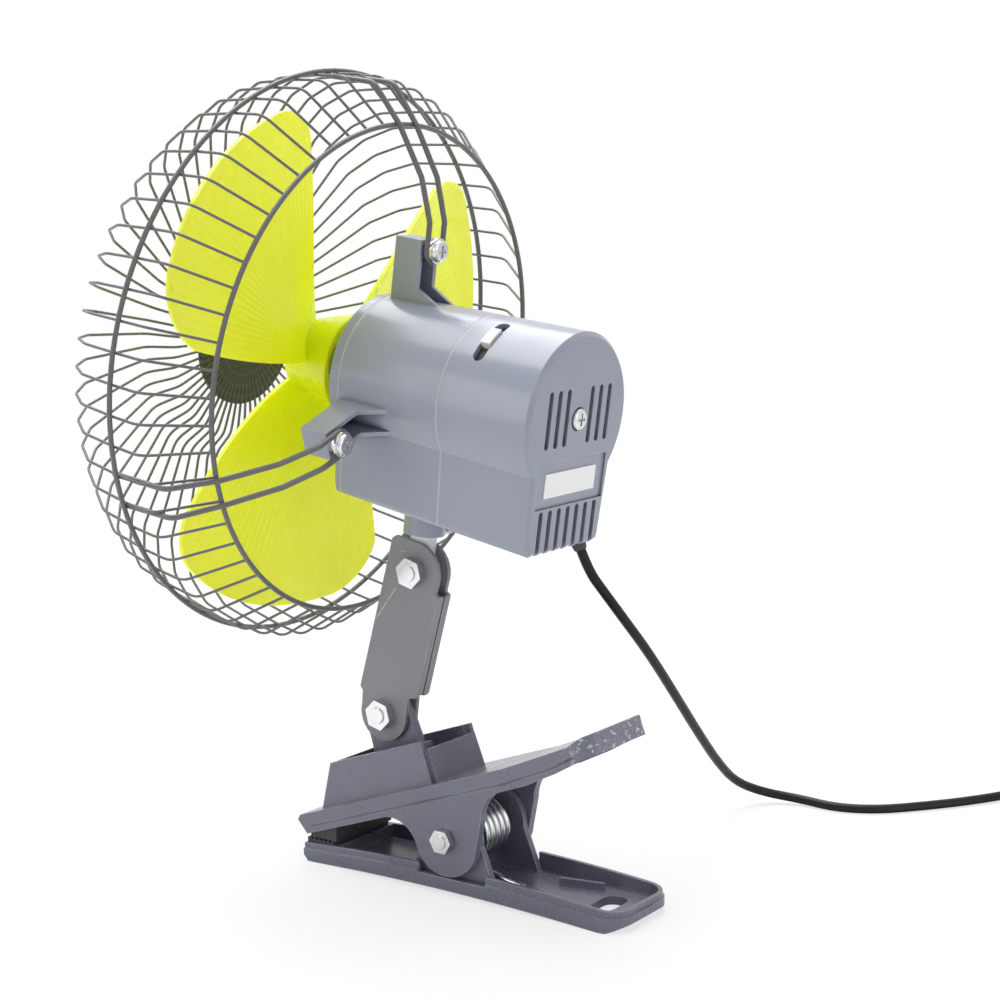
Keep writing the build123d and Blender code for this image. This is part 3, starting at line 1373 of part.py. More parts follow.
def cord_gland():
    """The tapered rubber sleeve in the cover's underside."""
    taper = Pos(0, 0, -GLAND_OUT / 2) * Cone(GLAND_END_R, GLAND_BASE_R, GLAND_OUT)
    taper -= Pos(0, 0, 5) * Rot(-GLAND_BACK, -GLAND_SIDE, 0) * Box(20, 20, 10)
    return gland_frame(taper + rod_z(GLAND_R - SEAT, -GLAND_OUT * 0.5, GLAND_DEEP))


def corner_radii(points):
    """For each corner 0.45 of its shorter run, divided by the tangent of half the turn."""
    radii = []
    for before, here, after in zip(points, points[1:], points[2:]):
        run_in, run_out = here - before, after - here
        turn = math.radians(run_in.get_angle(run_out))
        radii.append(0.45 * min(run_in.length, run_out.length) / math.tan(turn / 2))
    return radii


def cord_points():
    """The route: straight out of the gland, then the chosen points, then the coil's first point."""
    chosen = [Vector(*point) for point in CORD_ROUTE]
    return [below_gland(0), below_gland(CORD_FIRST_RUN)] + chosen + [coil_start()]


def power_cord():
    """The cord from the gland to the coil: straight runs joined by tangent arcs."""
    points = cord_points()
    radii = corner_radii(points)
    path = FilletPolyline(*points, radius=radii)
    start = Plane(origin=path @ 0, z_dir=path % 0)
    tube = sweep(start * Circle(CORD_D / 2), path=path)
    expected = math.pi * (CORD_D / 2) ** 2 * path.length
    print("cord radii", [round(r) for r in radii])
    print("cord length", round(path.length, 1), "volume share", round(tube.volume / expected, 4))
    return tube


def heading(angle):
    """A level direction."""
    return Vector(math.cos(math.radians(angle)), math.sin(math.radians(angle)), 0)


def coil_start():
    return Vector(*COIL_START, CORD_D / 2 + COIL_LIFT)


def coil_centre():
    """The coil winds clockwise, so its middle is to the right of the first run."""
    outer = COIL_INNER_R + COIL_STEP * COIL_TURNS
    return coil_start() + heading(COIL_HEADING) * CORD_D + heading(COIL_HEADING - 90) * outer


def plug_place():
    """Where the cord goes into the plug, and the way the plug points."""
    upper = COIL_LIFT + 1.5 * CORD_D + CORD_GAP
    start = coil_start() + heading(COIL_HEADING) * (CORD_D + PLUG_RUN)
    end = start + heading(COIL_HEADING - 90) * PLUG_SIDE
    return Vector(end.X, end.Y, max(PLUG_GRIP_R + SEAT, upper)), heading(COIL_HEADING - 90)


def coil_edges():
    """The put-away length: a spiral in, a level step at its middle, a spiral out and a lead to the plug."""
    centre = coil_centre()
    low = COIL_LIFT + CORD_D / 2
    high = low + CORD_D + CORD_GAP
    outer = COIL_INNER_R + COIL_STEP * COIL_TURNS
    half_turns = 2 * COIL_TURNS
    # in on the lower layer, one half turn that climbs, and out on the upper layer half a turn further
    inward = [(outer - COIL_STEP / 2 * n, low) for n in range(half_turns + 1)]
    outward = [(COIL_INNER_R + COIL_STEP / 2 * n, high) for n in range(half_turns + 2)]
    layers = inward + outward
    points, tangents = [coil_start()], [heading(COIL_HEADING)]
    for n, (r, z) in enumerate(layers):
        radial = heading(COIL_HEADING + 90 - 180 * n)
        points.append(Vector(centre.X + r * radial.X, centre.Y + r * radial.Y, z))
        tangents.append(heading(COIL_HEADING - 180 * n))
    plug, way = plug_place()
    points += [plug - way * CORD_D, plug]
    tangents += [way, way]
    return through(points, tangents)


def cord_coil():
    edges = coil_edges()
    report_gap("cord coil", edges, CORD_D)
    return tube_along(edges, CORD_D / 2)


def cord_tie():
    """A flat tie round all the turns, on the far side of the coil from its ends."""
    outer = COIL_INNER_R + COIL_STEP * COIL_TURNS + CORD_D / 2 + 0.8
    inner = COIL_INNER_R - CORD_D / 2 - 0.6
    top = COIL_LIFT + 2 * CORD_D + CORD_GAP + 0.2
    half = TIE_WIDE / 2
    t = TIE_THICK
    band = block(inner - t, outer + t, -half, half, COIL_LIFT - 0.1 - t, top + t)
    band -= block(inner, outer, -half - 1, half + 1, COIL_LIFT - 0.1, top)
    low, high = COIL_LIFT + 0.6, COIL_LIFT + 5.0
    head = block(outer + t - 0.2, outer + t + 3.0, -half - 0.8, half + 0.8, low, high)
    centre = coil_centre()
    return Pos(centre.X, centre.Y, 0) * Rot(0, 0, COIL_HEADING - 90) * (band + head)


def plug_frame(shape):
    """From the plug's frame, +Y the way it points, to the build frame."""
    place, _ = plug_place()
    return Pos(place.X, place.Y, place.Z) * Rot(0, 0, COIL_HEADING - 180) * shape


def car_plug():
    """The plug's moulded body: tail, ribbed grip and the round nose."""
    tail, grip = PLUG_TAIL_LENGTH, PLUG_TAIL_LENGTH + PLUG_GRIP_LENGTH
    end = grip + PLUG_BODY_LENGTH
    body = turned(
        [
            (0, 0),
            (PLUG_TAIL_R * 0.75, 0),
            (PLUG_TAIL_R, tail),
            (PLUG_R - 1.5, tail + 2.5),
            (PLUG_GRIP_R, tail + 6.0),
            (PLUG_GRIP_R, grip - 1.2),
            (PLUG_GRIP_R - 1.2, grip),
            (PLUG_R, grip + 0.1),
            (PLUG_R, end - 6.0),
            (PLUG_TIP_R + 2.6, end),
            (0, end),
        ]
    )
    pitch = (PLUG_GRIP_LENGTH - 8.0) / PLUG_RIBS
    for n in range(PLUG_RIBS):
        y = tail + 7.0 + pitch * n
        body -= rod_y(PLUG_GRIP_R + 1, y, y + pitch / 2) - rod_y(PLUG_GRIP_R - 0.7, 0, 99)
    body -= rod_y(PLUG_TIP_R + SEAT, end - 5, end + 1)
    for sign in (-1, 1):
        body -= Pos(sign * PLUG_R, grip + PLUG_BODY_LENGTH * 0.45, 0) * Box(5.0, 17.0, 4.0)
    return plug_frame(body)


def plug_contacts():
    """The plug's tip and its two side springs."""
    grip = PLUG_TAIL_LENGTH + PLUG_GRIP_LENGTH
    end = grip + PLUG_BODY_LENGTH
    tip = rod_y(PLUG_TIP_R, end - 5, end + PLUG_TIP_LENGTH)
    tip = fillet(tip.edges().filter_by(GeomType.CIRCLE).sort_by(Axis.Y)[-1], 1.6)
    middle = grip + PLUG_BODY_LENGTH * 0.45
    side = [
        (PLUG_R - 2.4, middle - 8.3),
        (PLUG_R - 1.4, middle - 8.3),
        (PLUG_R + 0.9, middle - 2.0),
        (PLUG_R + 0.9, middle + 2.0),
        (PLUG_R - 1.4, middle + 8.3),
        (PLUG_R - 2.4, middle + 8.3),
    ]
    spring = extrude(make_face(Polyline(*side, close=True)), 1.7, both=True)
    return [plug_frame(piece) for piece in (tip, spring, mirror(spring, Plane.YZ))]


# ---------------------------------------------------------------- assembly


def all_pieces():
    """Every sub-part by name, in the build frame."""
    near = arm_half()
    head = {
        "front_housing": front_housing(),
        "rear_cover": rear_cover(),
        "rear_screw": rear_screw(),
        "ear_screws": ear_screws(),
        "rating_plate": rating_plate(),
        "motor_can": motor_can(),
        "motor_end": motor_end(),
        "motor_magnets": motor_magnets(),
        "armature": armature(),
        "motor_shaft": motor_shaft(),
        "worm": worm(),
        "worm_wheel": worm_wheel(),
        "pinion_shaft": pinion_shaft(),
        "crank_gear": crank_gear(),
        "crank": crank(),
        "gear_bracket": gear_bracket(),
        "speed_slide": speed_slide(),
        "slide_knob": slide_knob(),
        "speed_switch": speed_switch(),
        "swivel_neck": swivel_neck(),
        "neck_screw": neck_screw(),
        "swing_link": swing_link(),
        "propeller": propeller(),
        "hub_nut": hub_nut(),
        "guard": guard(),
        "guard_badge": guard_badge(),
        "guard_legs": guard_legs(),
        "cord_gland": cord_gland(),
    }
    pieces = {
        "lower_lever": lower_lever(),
        "upper_lever": upper_lever(),
        "lower_jaw_pad": lower_pad(),
        "upper_jaw_pad": upper_pad(),
        "pivot_bolt": pivot_bolt(),
        "pivot_nut": pivot_nut(),
        "torsion_spring": torsion_spring(),
        "arm_near_half": arm_frame(near),
        "arm_far_half": arm_frame(mirror(near, Plane.YZ)),
        "arm_bolts": arm_bolts(),
        "arm_nuts": arm_nuts(),
    }
    for name, shape in head.items():
        pieces[name] = [head_frame(s) for s in shape] if isinstance(shape, list) else head_frame(shape)
    return pieces


def cord_pieces():
    """The free cord and what is on it."""
    return {
        "power_cord": power_cord(),
        "cord_coil": cord_coil(),
        "cord_tie": cord_tie(),
        "car_plug": car_plug(),
        "plug_contacts": plug_contacts(),
    }


def as_one(shape):
    """One shape to write: a group stays a group of separate solids."""
    return Compound(children=list(shape)) if isinstance(shape, list) else shape


def main():
    os.makedirs("parts", exist_ok=True)
    pieces = {name: as_one(shape) for name, shape in all_pieces().items()}
    boxes = [shape.bounding_box() for shape in pieces.values()]
    low = min(box.min.Y for box in boxes)
    high = max(box.max.Y for box in boxes)
    shift = Pos(0, -(low + high) / 2, 0)
    print("moved along Y by", round(-(low + high) / 2, 4))
    pieces.update({name: as_one(shape) for name, shape in cord_pieces().items()})
    for name, shape in pieces.items():
        export_step(shift * shape, f"parts/{name}.step")


main()
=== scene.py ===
# %% [markdown]
# # A clip fan, dressed for the camera
# The solids of the fan are already exact: a wire cage, a motor housing, a folding arm and a spring
# clip. This lesson gives them their finishes, lays the cord on the table, and photographs the whole
# from behind. It starts by loading the solids. Everything is in metres, and every solid stays where
# it is.

# %% Load the solids
import bpy
import json
import math
import numpy as np
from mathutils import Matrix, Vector


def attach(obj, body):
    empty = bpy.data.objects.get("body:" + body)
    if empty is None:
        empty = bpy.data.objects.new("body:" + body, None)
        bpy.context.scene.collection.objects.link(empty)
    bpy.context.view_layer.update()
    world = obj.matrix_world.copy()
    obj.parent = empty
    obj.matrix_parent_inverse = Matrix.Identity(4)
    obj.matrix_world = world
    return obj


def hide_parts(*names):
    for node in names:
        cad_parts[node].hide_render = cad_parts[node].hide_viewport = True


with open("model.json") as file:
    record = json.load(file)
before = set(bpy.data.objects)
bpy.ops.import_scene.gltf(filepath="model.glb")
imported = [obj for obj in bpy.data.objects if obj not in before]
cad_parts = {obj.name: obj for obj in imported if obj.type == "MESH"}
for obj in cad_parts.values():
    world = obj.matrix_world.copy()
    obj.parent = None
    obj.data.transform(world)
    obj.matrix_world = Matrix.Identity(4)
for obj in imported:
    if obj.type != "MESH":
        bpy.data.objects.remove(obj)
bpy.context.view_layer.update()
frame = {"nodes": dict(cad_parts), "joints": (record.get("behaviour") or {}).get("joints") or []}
nodes = frame["nodes"]
MM = 0.001


# %% [markdown]
# ## Colours as the eye names them
# A colour is easiest to choose the way a paint card shows it, as three numbers up to 255. The
# renderer wants the amount of light instead, so one helper turns the first into the second.


# %% Colour helper
def colour(red, green, blue):
    """A paint-card colour as linear light, by the curve that screens use."""
    parts = [channel / 255 for channel in (red, green, blue)]
    linear = [p / 12.92 if p < 0.04045 else ((p + 0.055) / 1.055) ** 2.4 for p in parts]
    return (*linear, 1.0)


print("mid grey:", [round(c, 3) for c in colour(151, 156, 168)])

# %% [markdown]
# ## Shader sums in plain Python
# A finish is a small web of nodes. Written as Python sums it reads like the sentence it stands for:
# scratches are noise, pushed past a limit. One class wraps an output and gives it + - * /, and one
# method makes any other node.


# %% Shader helpers
SKY_HIDDEN = 0.35
SKY_OPEN = 0.8
LEAN_LEAST = 0.01
LEAN_MOST = 0.25
SKIN_EDGE = 0.5 * MM
WORN_EDGE = 0.8 * MM


class Value:
    """One output of a shader node. Sums between values and numbers add Math nodes."""

    def __init__(self, look, socket):
        self.look = look
        self.socket = socket

    def pick(self, name):
        return Value(self.look, self.socket.node.outputs[name])

    def maths(self, operation, first, second):
        return self.look.node("ShaderNodeMath", {"operation": operation}, {0: first, 1: second})

    def __add__(self, other):
        return self.maths("ADD", self, other)

    def __sub__(self, other):
        return self.maths("SUBTRACT", self, other)

    def __mul__(self, other):
        return self.maths("MULTIPLY", self, other)

    def __truediv__(self, other):
        return self.maths("DIVIDE", self, other)

    def __rsub__(self, other):
        return self.maths("SUBTRACT", other, self)

    __radd__ = __add__
    __rmul__ = __mul__

    def absolute(self):
        return self.maths("ABSOLUTE", self, 0.0)

    def sine(self):
        return self.maths("SINE", self, 0.0)

    def between(self, low, high):
        """0 below low, 1 above high, and a soft step between them."""
        settings = {"interpolation_type": "SMOOTHSTEP"}
        sockets = {"Value": self, "From Min": low, "From Max": high}
        return self.look.node("ShaderNodeMapRange", settings, sockets)


class Look:
    """One material, with its nodes made by name."""

    def __init__(self, name):
        self.material = bpy.data.materials.new(name)
        self.material.use_nodes = True
        self.tree = self.material.node_tree
        self.shader = self.tree.nodes["Principled BSDF"]

    def node(self, kind, settings=None, sockets=None):
        made = self.tree.nodes.new(kind)
        for name, value in (settings or {}).items():
            setattr(made, name, value)
        for name, value in (sockets or {}).items():
            self.feed(made.inputs[name], value)
        return Value(self, next(output for output in made.outputs if output.enabled))

    def feed(self, socket, value):
        if isinstance(value, Value):
            self.tree.links.new(value.socket, socket)
        else:
            socket.default_value = value

    def set(self, **sockets):
        for name, value in sockets.items():
            self.feed(self.shader.inputs[name.replace("_", " ")], value)

    def place(self):
        return self.node("ShaderNodeTexCoord").pick("Object")

    def stretched(self, scale, turn=(0.0, 0.0, 0.0)):
        """Object coordinates turned, then scaled, so that a round noise becomes streaks."""
        sockets = {"Vector": self.place(), "Rotation": turn, "Scale": scale}
        return self.node("ShaderNodeMapping", None, sockets)

    def noise(self, scale, detail=3.0, roughness=0.5, at=None):
        sockets = {"Vector": at or self.place(), "Scale": scale, "Detail": detail, "Roughness": roughness}
        return self.node("ShaderNodeTexNoise", None, sockets)

    def mix(self, factor, first, second):
        made = self.tree.nodes.new("ShaderNodeMix")
        made.data_type = "RGBA"
        for socket, value in zip((made.inputs[0], made.inputs[6], made.inputs[7]), (factor, first, second)):
            self.feed(socket, value)
        return Value(self, made.outputs[2])

    def rounded(self, radius):
        """A normal that rounds every sharp edge by radius."""
        return self.node("ShaderNodeBevel", {"samples": 4}, {"Radius": radius})

    def edges(self, radius):
        """1 on edges and 0 on flats: how far the rounded normal leans from the true one."""
        true = self.node("ShaderNodeNewGeometry").pick("Normal")
        sockets = {0: self.rounded(radius), 1: true}
        leaning = self.node("ShaderNodeVectorMath", {"operation": "DOT_PRODUCT"}, sockets)
        return (1 - leaning.pick("Value")).between(LEAN_LEAST, LEAN_MOST)

    def crevices(self, reach):
        """1 deep in slots and corners, 0 in the open: how much of the sky the solid hides from a point, to
        mark where shade is painted.
        """
        settings = {"samples": 8, "only_local": True}
        sky = self.node("ShaderNodeAmbientOcclusion", settings, {"Distance": reach}).pick("AO")
        return 1 - sky.between(SKY_HIDDEN, SKY_OPEN)

    def bump(self, height, strength, distance, normal=None):
        sockets = {"Height": height, "Strength": strength, "Distance": distance}
        if normal:
            sockets["Normal"] = normal
        return self.node("ShaderNodeBump", None, sockets)


def dress(look, *names):
    """Gives a finish to solids by name."""
    for name in names:
        obj = nodes[name]
        obj.data.materials.clear()
        obj.data.materials.append(look.material)
    print(look.material.name, "on", len(names), "solids")


print("edges are rounded by", SKIN_EDGE / MM, "mm and worn over", WORN_EDGE / MM, "mm")

# %% [markdown]
# ## The head's own directions
# The head leans, so its seams and rims are circles about a leaning axis. Two helpers give a place
# on the head along the motor's axis and around it: radius, angle and distance back from the hub.

# %% Head frame
TILT = math.radians(7.47)
joint = {j["name"]: j for j in frame["joints"]}
hub = Vector(joint["fan_spin"]["pos_m"])
print("hub at", [round(c, 4) for c in hub])


def head_place(look):
    """Object coordinates moved and turned so that Y is the motor's axis and the hub is the origin."""
    moved = look.node("ShaderNodeVectorMath", {"operation": "SUBTRACT"}, {0: look.place(), 1: tuple(hub)})
    sockets = {"Vector": moved, "Angle": TILT}
    return look.node("ShaderNodeVectorRotate", {"rotation_type": "X_AXIS"}, sockets)


def head_polar(look):
    """Radius from the motor's axis and angle about it, as two values."""
    parts = look.node("ShaderNodeSeparateXYZ", None, {"Vector": head_place(look)})
    across, up = parts.pick("X"), parts.pick("Z")
    radius = look.node("ShaderNodeMath", {"operation": "SQRT"}, {0: across * across + up * up})
    angle = look.node("ShaderNodeMath", {"operation": "ARCTAN2"}, {0: up, 1: across})
    return radius, angle


def head_back(look):
    """Distance back along the motor's axis from the hub."""
    return look.node("ShaderNodeSeparateXYZ", None, {"Vector": head_place(look)}).pick("Y")


# %% [markdown]
# ## The grey moulding
# The housing is a glossy grey plastic. Real mouldings are never quite flat: the skin has a faint
# waviness that wobbles the highlights, a little haze, and edges rounded by the mould. Noise at two
# sizes does the first two, and a rounded normal does the edges.


# %% Moulded plastic
PALER = 1.35


def moulding(name, body, roughness, wave=0.25):
    """Coloured plastic: base colour, shiny skin with soft waves, edges rounded and a little paler."""
    look = Look(name)
    wide = look.noise(22.0, 2.0)
    fine = look.noise(900.0, 2.0)
    lightened = look.edges(WORN_EDGE)
    tone = look.mix(wide * 0.12, body, colour(255, 255, 255))
    pale = (*(min(1.0, channel * PALER) for channel in body[:3]), 1.0)
    look.set(
        Base_Color=look.mix(lightened * 0.5, tone, pale),
        Roughness=roughness + fine * 0.10 + wide * 0.06,
        Normal=look.bump(wide * 0.8 + fine * 0.05, wave, 0.6 * MM, look.rounded(SKIN_EDGE)),
    )
    return look


print("worn edges are", PALER, "times as bright")

# %% [markdown]
# The housing is thin, and it cooled unevenly, so long soft dents wobble its highlights. Its slots and
# corners are darkened with painted shade. A fine pale lip stands along the seam between its two
# halves, and another runs round its front rim; their paleness is a painted highlight. Both are bumps
# at a fixed distance back along the motor's axis: a narrow bell, 1 on the line and 0 a hair's breadth
# away.

# %% Housing plastic
SEAM_BACK = 79.3 * MM
RIM_BACK = 35.4 * MM
LIP_WIDTH = 0.7 * MM
SLOT_REACH = 5 * MM


def ring_line(look, back, width):
    """1 on the circle that lies back along the axis, 0 beyond width on either side."""
    return 1 - ((head_back(look) - back) / width).absolute().between(0.0, 1.0)


def housing_skin():
    """Glossy grey plastic with soft dents, a seam lip, a rim lip and short rubbed marks, the lips paled by
    painted highlight and the slots darkened by painted shade.
    """
    look = Look("housing_plastic")
    dents = look.noise(30.0, 2.0, 0.5, look.stretched((1.0, 0.55, 1.0)))
    ripple = look.noise(95.0, 2.0)
    fine = look.noise(900.0, 2.0)
    lips = ring_line(look, SEAM_BACK, LIP_WIDTH) + ring_line(look, RIM_BACK, LIP_WIDTH)
    rubbed = look.noise(60.0, 5.0, 0.7, look.stretched((1.0, 5.0, 1.0))).between(0.66, 0.80)
    body = look.mix(dents * 0.2, colour(146, 151, 167), colour(160, 165, 179))
    # The edge and rubbed terms are wear; the lip term is a painted highlight along the seam and rim.
    lightened = look.edges(WORN_EDGE) * 0.45 + lips * 0.35 + rubbed * 0.15
    height = dents * 3.0 + ripple * 0.5 + fine * 0.03 + lips * 0.45
    skin = look.mix(lightened, body, colour(206, 208, 216))
    look.set(
        # Painted shade: slots and corners are mixed toward dark grey where the solid hides the sky.
        Base_Color=look.mix(look.crevices(SLOT_REACH) * 0.75, skin, colour(40, 42, 48)),
        Roughness=0.15 + fine * 0.06 + dents * 0.10 + rubbed * 0.15,
        Normal=look.bump(height, 0.5, 0.6 * MM, look.rounded(SKIN_EDGE)),
    )
    return look


dress(housing_skin(), "front_housing", "rear_cover")

# %% [markdown]
# The clip is a darker grey, and it has been used: its edges are rubbed pale, a few light scratches
# cross it, and the end of the handle, which thumbs and tables reach first, is scuffed white.

# %% Clip plastic
HANDLE_END = max(nodes["upper_lever"].bound_box, key=lambda corner: corner[1])[1]
SCUFFS_FROM = HANDLE_END - 16 * MM
SCUFFS_FULL = HANDLE_END - 2 * MM
SCUFFS_LOW = 44 * MM
SCUFFS_HIGH = 50 * MM


def clip_skin():
    """Blue-grey plastic with rubbed edges, long thin scratches, and a scuffed handle end."""
    look = Look("clip_plastic")
    cloud = look.noise(35.0, 3.0)
    fine = look.noise(800.0, 2.0)
    slanted = look.stretched((1.0, 1.0, 8.0), (0.7, 0.0, 0.3))
    long_marks = look.noise(70.0, 5.0, 0.75, slanted).between(0.72, 0.76)
    parts = look.node("ShaderNodeSeparateXYZ", None, {"Vector": look.place()})
    back, up = parts.pick("Y"), parts.pick("Z")
    at_end = back.between(SCUFFS_FROM, SCUFFS_FULL) * up.between(SCUFFS_LOW, SCUFFS_HIGH)
    scuffs = look.noise(380.0, 4.0, 0.7).between(0.55, 0.62) * at_end
    rubbed = look.edges(WORN_EDGE) * cloud.between(0.35, 0.65) * 0.55
    marks = rubbed + scuffs * 0.85 + long_marks * 0.12
    body = look.mix(cloud * 0.25, colour(108, 110, 126), colour(120, 123, 138))
    look.set(
        Base_Color=look.mix(marks, body, colour(214, 215, 220)),
        Roughness=0.20 + cloud * 0.10 + fine * 0.06 + scuffs * 0.4,
        Normal=look.bump(cloud * 0.7 + fine * 0.05 + scuffs * 0.3, 0.3, 0.5 * MM, look.rounded(SKIN_EDGE)),
    )
    return look


dress(clip_skin(), "lower_lever", "upper_lever")

# %% Other mouldings
dress(moulding("inner_plastic", colour(140, 144, 152), 0.45), "gear_bracket")
dress(moulding("black_plastic", colour(26, 26, 28), 0.40), "speed_slide", "speed_switch", "motor_end")
dress(moulding("knob_plastic", colour(226, 214, 212), 0.35), "slide_knob")
dress(
    moulding("natural_nylon", colour(214, 215, 216), 0.42),
    "swivel_neck", "worm_wheel", "pinion_shaft", "crank_gear",
)
dress(moulding("white_plate", colour(240, 240, 241), 0.45, wave=0.05), "rating_plate")
dress(moulding("plug_plastic", colour(24, 24, 25), 0.42), "car_plug", "cord_tie")

# %% [markdown]
# The round badge in front is moulded on the wires' ends. Its back shows a rib for every wire and a
# few rings, which a sine of the angle and one of the radius draw as bumps, and paint paler as a
# painted highlight on the dark plastic.

# %% Badge
RIBS = 60
RING_PITCH = 4.2 * MM
RIBS_FROM = 8 * MM
RIBS_FULL = 12 * MM
badge = Look("badge_plastic")
badge_radius, badge_angle = head_polar(badge)
ribs = (badge_angle * RIBS).sine().between(-0.2, 0.6) * badge_radius.between(RIBS_FROM, RIBS_FULL)
rings = (badge_radius * (2 * math.pi / RING_PITCH)).sine().between(0.5, 0.9)
# Painted highlight: the ribs and rings are mixed toward a paler olive than the dark badge.
badge.set(
    Base_Color=badge.mix(ribs * 0.6 + rings * 0.3, colour(22, 25, 14), colour(66, 72, 38)),
    Roughness=0.35 + badge.noise(300.0) * 0.15,
    Normal=badge.bump(ribs + rings * 0.5, 0.5, 0.4 * MM, badge.rounded(0.3 * MM)),
)
dress(badge, "guard_badge")

# %% [markdown]
# ## Rubber
# The pads and the gland are dull: a high roughness, and a fine grain that scatters what little
# shine is left.


# %% Rubber
def rubber(name, body):
    """Dull and grainy: rough everywhere, with a bump of fine noise."""
    look = Look(name)
    grain = look.noise(1400.0, 3.0)
    look.set(
        Base_Color=look.mix(grain * 0.2, body, colour(90, 90, 92)),
        Roughness=0.62 + grain * 0.2,
        Normal=look.bump(grain, 0.25, 0.2 * MM, look.rounded(0.3 * MM)),
    )
    return look


dress(rubber("pad_rubber", colour(58, 58, 60)), "lower_jaw_pad", "upper_jaw_pad", "cord_gland")

# %% [markdown]
# ## Lime blades
# The blades are a clear lime plastic, so light that falls on the far side glows through. Scattering
# under the surface gives that glow. Faint flutes run out from the hub: rings of angle about the
# motor's axis.

# %% Blade plastic
BLADE_REACH = 92 * MM
FLUTES = 150
blades = Look("blade_plastic")
blade_radius, blade_angle = head_polar(blades)
reach = blade_radius / BLADE_REACH
flutes = (blade_angle * FLUTES).sine() * reach.between(0.3, 0.6)
outward = reach.between(0.35, 1.0)
blades.set(
    Base_Color=blades.mix(outward * 0.5, colour(234, 253, 16), colour(242, 253, 92)),
    Roughness=0.22 + blades.noise(60.0) * 0.12,
    Normal=blades.bump(flutes * 0.5 + blades.noise(25.0), 0.12, 0.5 * MM, blades.rounded(0.4 * MM)),
    Subsurface_Weight=0.8,
    Subsurface_Radius=(1.0, 1.0, 0.25),
    Subsurface_Scale=6 * MM,
)
dress(blades, "propeller")

# %% [markdown]
# ## Steel, bright and painted
# Fasteners are plated and mirror the room, with fine turning marks. The cage and the arm are
# painted, so their shine is broken by a little orange peel. The arm is worn through along its
# edges, fine scratches cross it, and one long scratch runs down from its upper nut.


# %% Plated steel
def plated(name, body, roughness, marks=0.12):
    """Bright metal whose roughness and surface vary with fine streaks."""
    look = Look(name)
    streaks = look.noise(500.0, 3.0, 0.6, look.stretched((1.0, 6.0, 1.0)))
    cloud = look.noise(90.0)
    look.set(
        Base_Color=look.mix(cloud * 0.3, body, colour(150, 150, 152)),
        Metallic=1.0,
        Roughness=roughness + streaks * marks,
        Normal=look.bump(streaks, 0.10, 0.15 * MM, look.rounded(0.25 * MM)),
    )
    return look


dress(
    plated("plated_steel", colour(224, 224, 226), 0.12),
    "pivot_bolt", "pivot_nut", "arm_bolts", "arm_nuts", "ear_screws", "rear_screw", "plug_contacts",
)
dress(plated("spring_wire", colour(205, 205, 208), 0.18), "torsion_spring")
dress(
    plated("plain_steel", colour(118, 118, 120), 0.34, 0.2),
    "neck_screw", "swing_link", "motor_shaft", "crank", "hub_nut", "motor_can", "armature",
)
dress(plated("dark_ferrite", colour(60, 60, 62), 0.6, 0.2), "motor_magnets")
dress(plated("cut_brass", colour(196, 160, 90), 0.25), "worm")


# %% Painted steel
SCRATCH_TOP = (-9.0 * MM, 106.1 * MM)
SCRATCH_FOOT = (-19.0 * MM, 92.5 * MM)
SCRATCH_WIDTH = 0.35 * MM
SCRATCH_STRENGTH = 0.8


def long_scratch(look):
    """1 on the one long scratch below the arm's upper nut, broken up by a little noise."""
    parts = look.node("ShaderNodeSeparateXYZ", None, {"Vector": look.place()})
    back, up = parts.pick("Y") - SCRATCH_TOP[0], parts.pick("Z") - SCRATCH_TOP[1]
    run = Vector(SCRATCH_FOOT) - Vector(SCRATCH_TOP)
    ahead = run.normalized()
    along_it = back * ahead.x + up * ahead.y
    off_it = (back * ahead.y - up * ahead.x).absolute()
    ends = along_it.between(0.0, 1 * MM) * (1 - along_it.between(run.length - 3 * MM, run.length))
    return (1 - off_it.between(0.0, SCRATCH_WIDTH)) * ends * look.noise(500.0).between(0.3, 0.5)


def painted(name, body, roughness, worn_through, scratched=False):
    """Paint with a soft orange peel; edges and scratches show a paler metal grey."""
    look = Look(name)
    peel = look.noise(700.0, 2.0)
    cloud = look.noise(40.0, 4.0, 0.6)
    bare = look.edges(SKIN_EDGE) * cloud.between(0.35, 0.6) * 0.8
    if scratched:
        line = look.noise(120.0, 4.0, 0.7, look.stretched((4.0, 1.0, 9.0), (0.6, 0.0, 0.0)))
        bare = bare + (line.between(0.70, 0.74) + long_scratch(look)) * SCRATCH_STRENGTH
    look.set(
        Base_Color=look.mix(bare, look.mix(cloud * 0.2, body, colour(40, 40, 42)), worn_through),
        Roughness=roughness + cloud * 0.15,
        Normal=look.bump(peel, 0.08, 0.2 * MM, look.rounded(0.3 * MM)),
    )
    return look


dress(painted("cage_paint", colour(102, 101, 103), 0.30, colour(150, 150, 150)), "guard", "guard_legs")
dress(
    painted("arm_paint", colour(136, 135, 143), 0.30, colour(205, 205, 208), scratched=True),
    "arm_near_half", "arm_far_half",
)

# %% [markdown]
# ## The cord
# A cord is a curve, not a shape: it leaves its gland, sags in the air, lies along the table and
# ends in a plug. The points are listed as the real one lies, and a smooth spline goes near each of
# them. The length that the picture doesn't show is wound into a coil, whose turns a short loop works
# out.

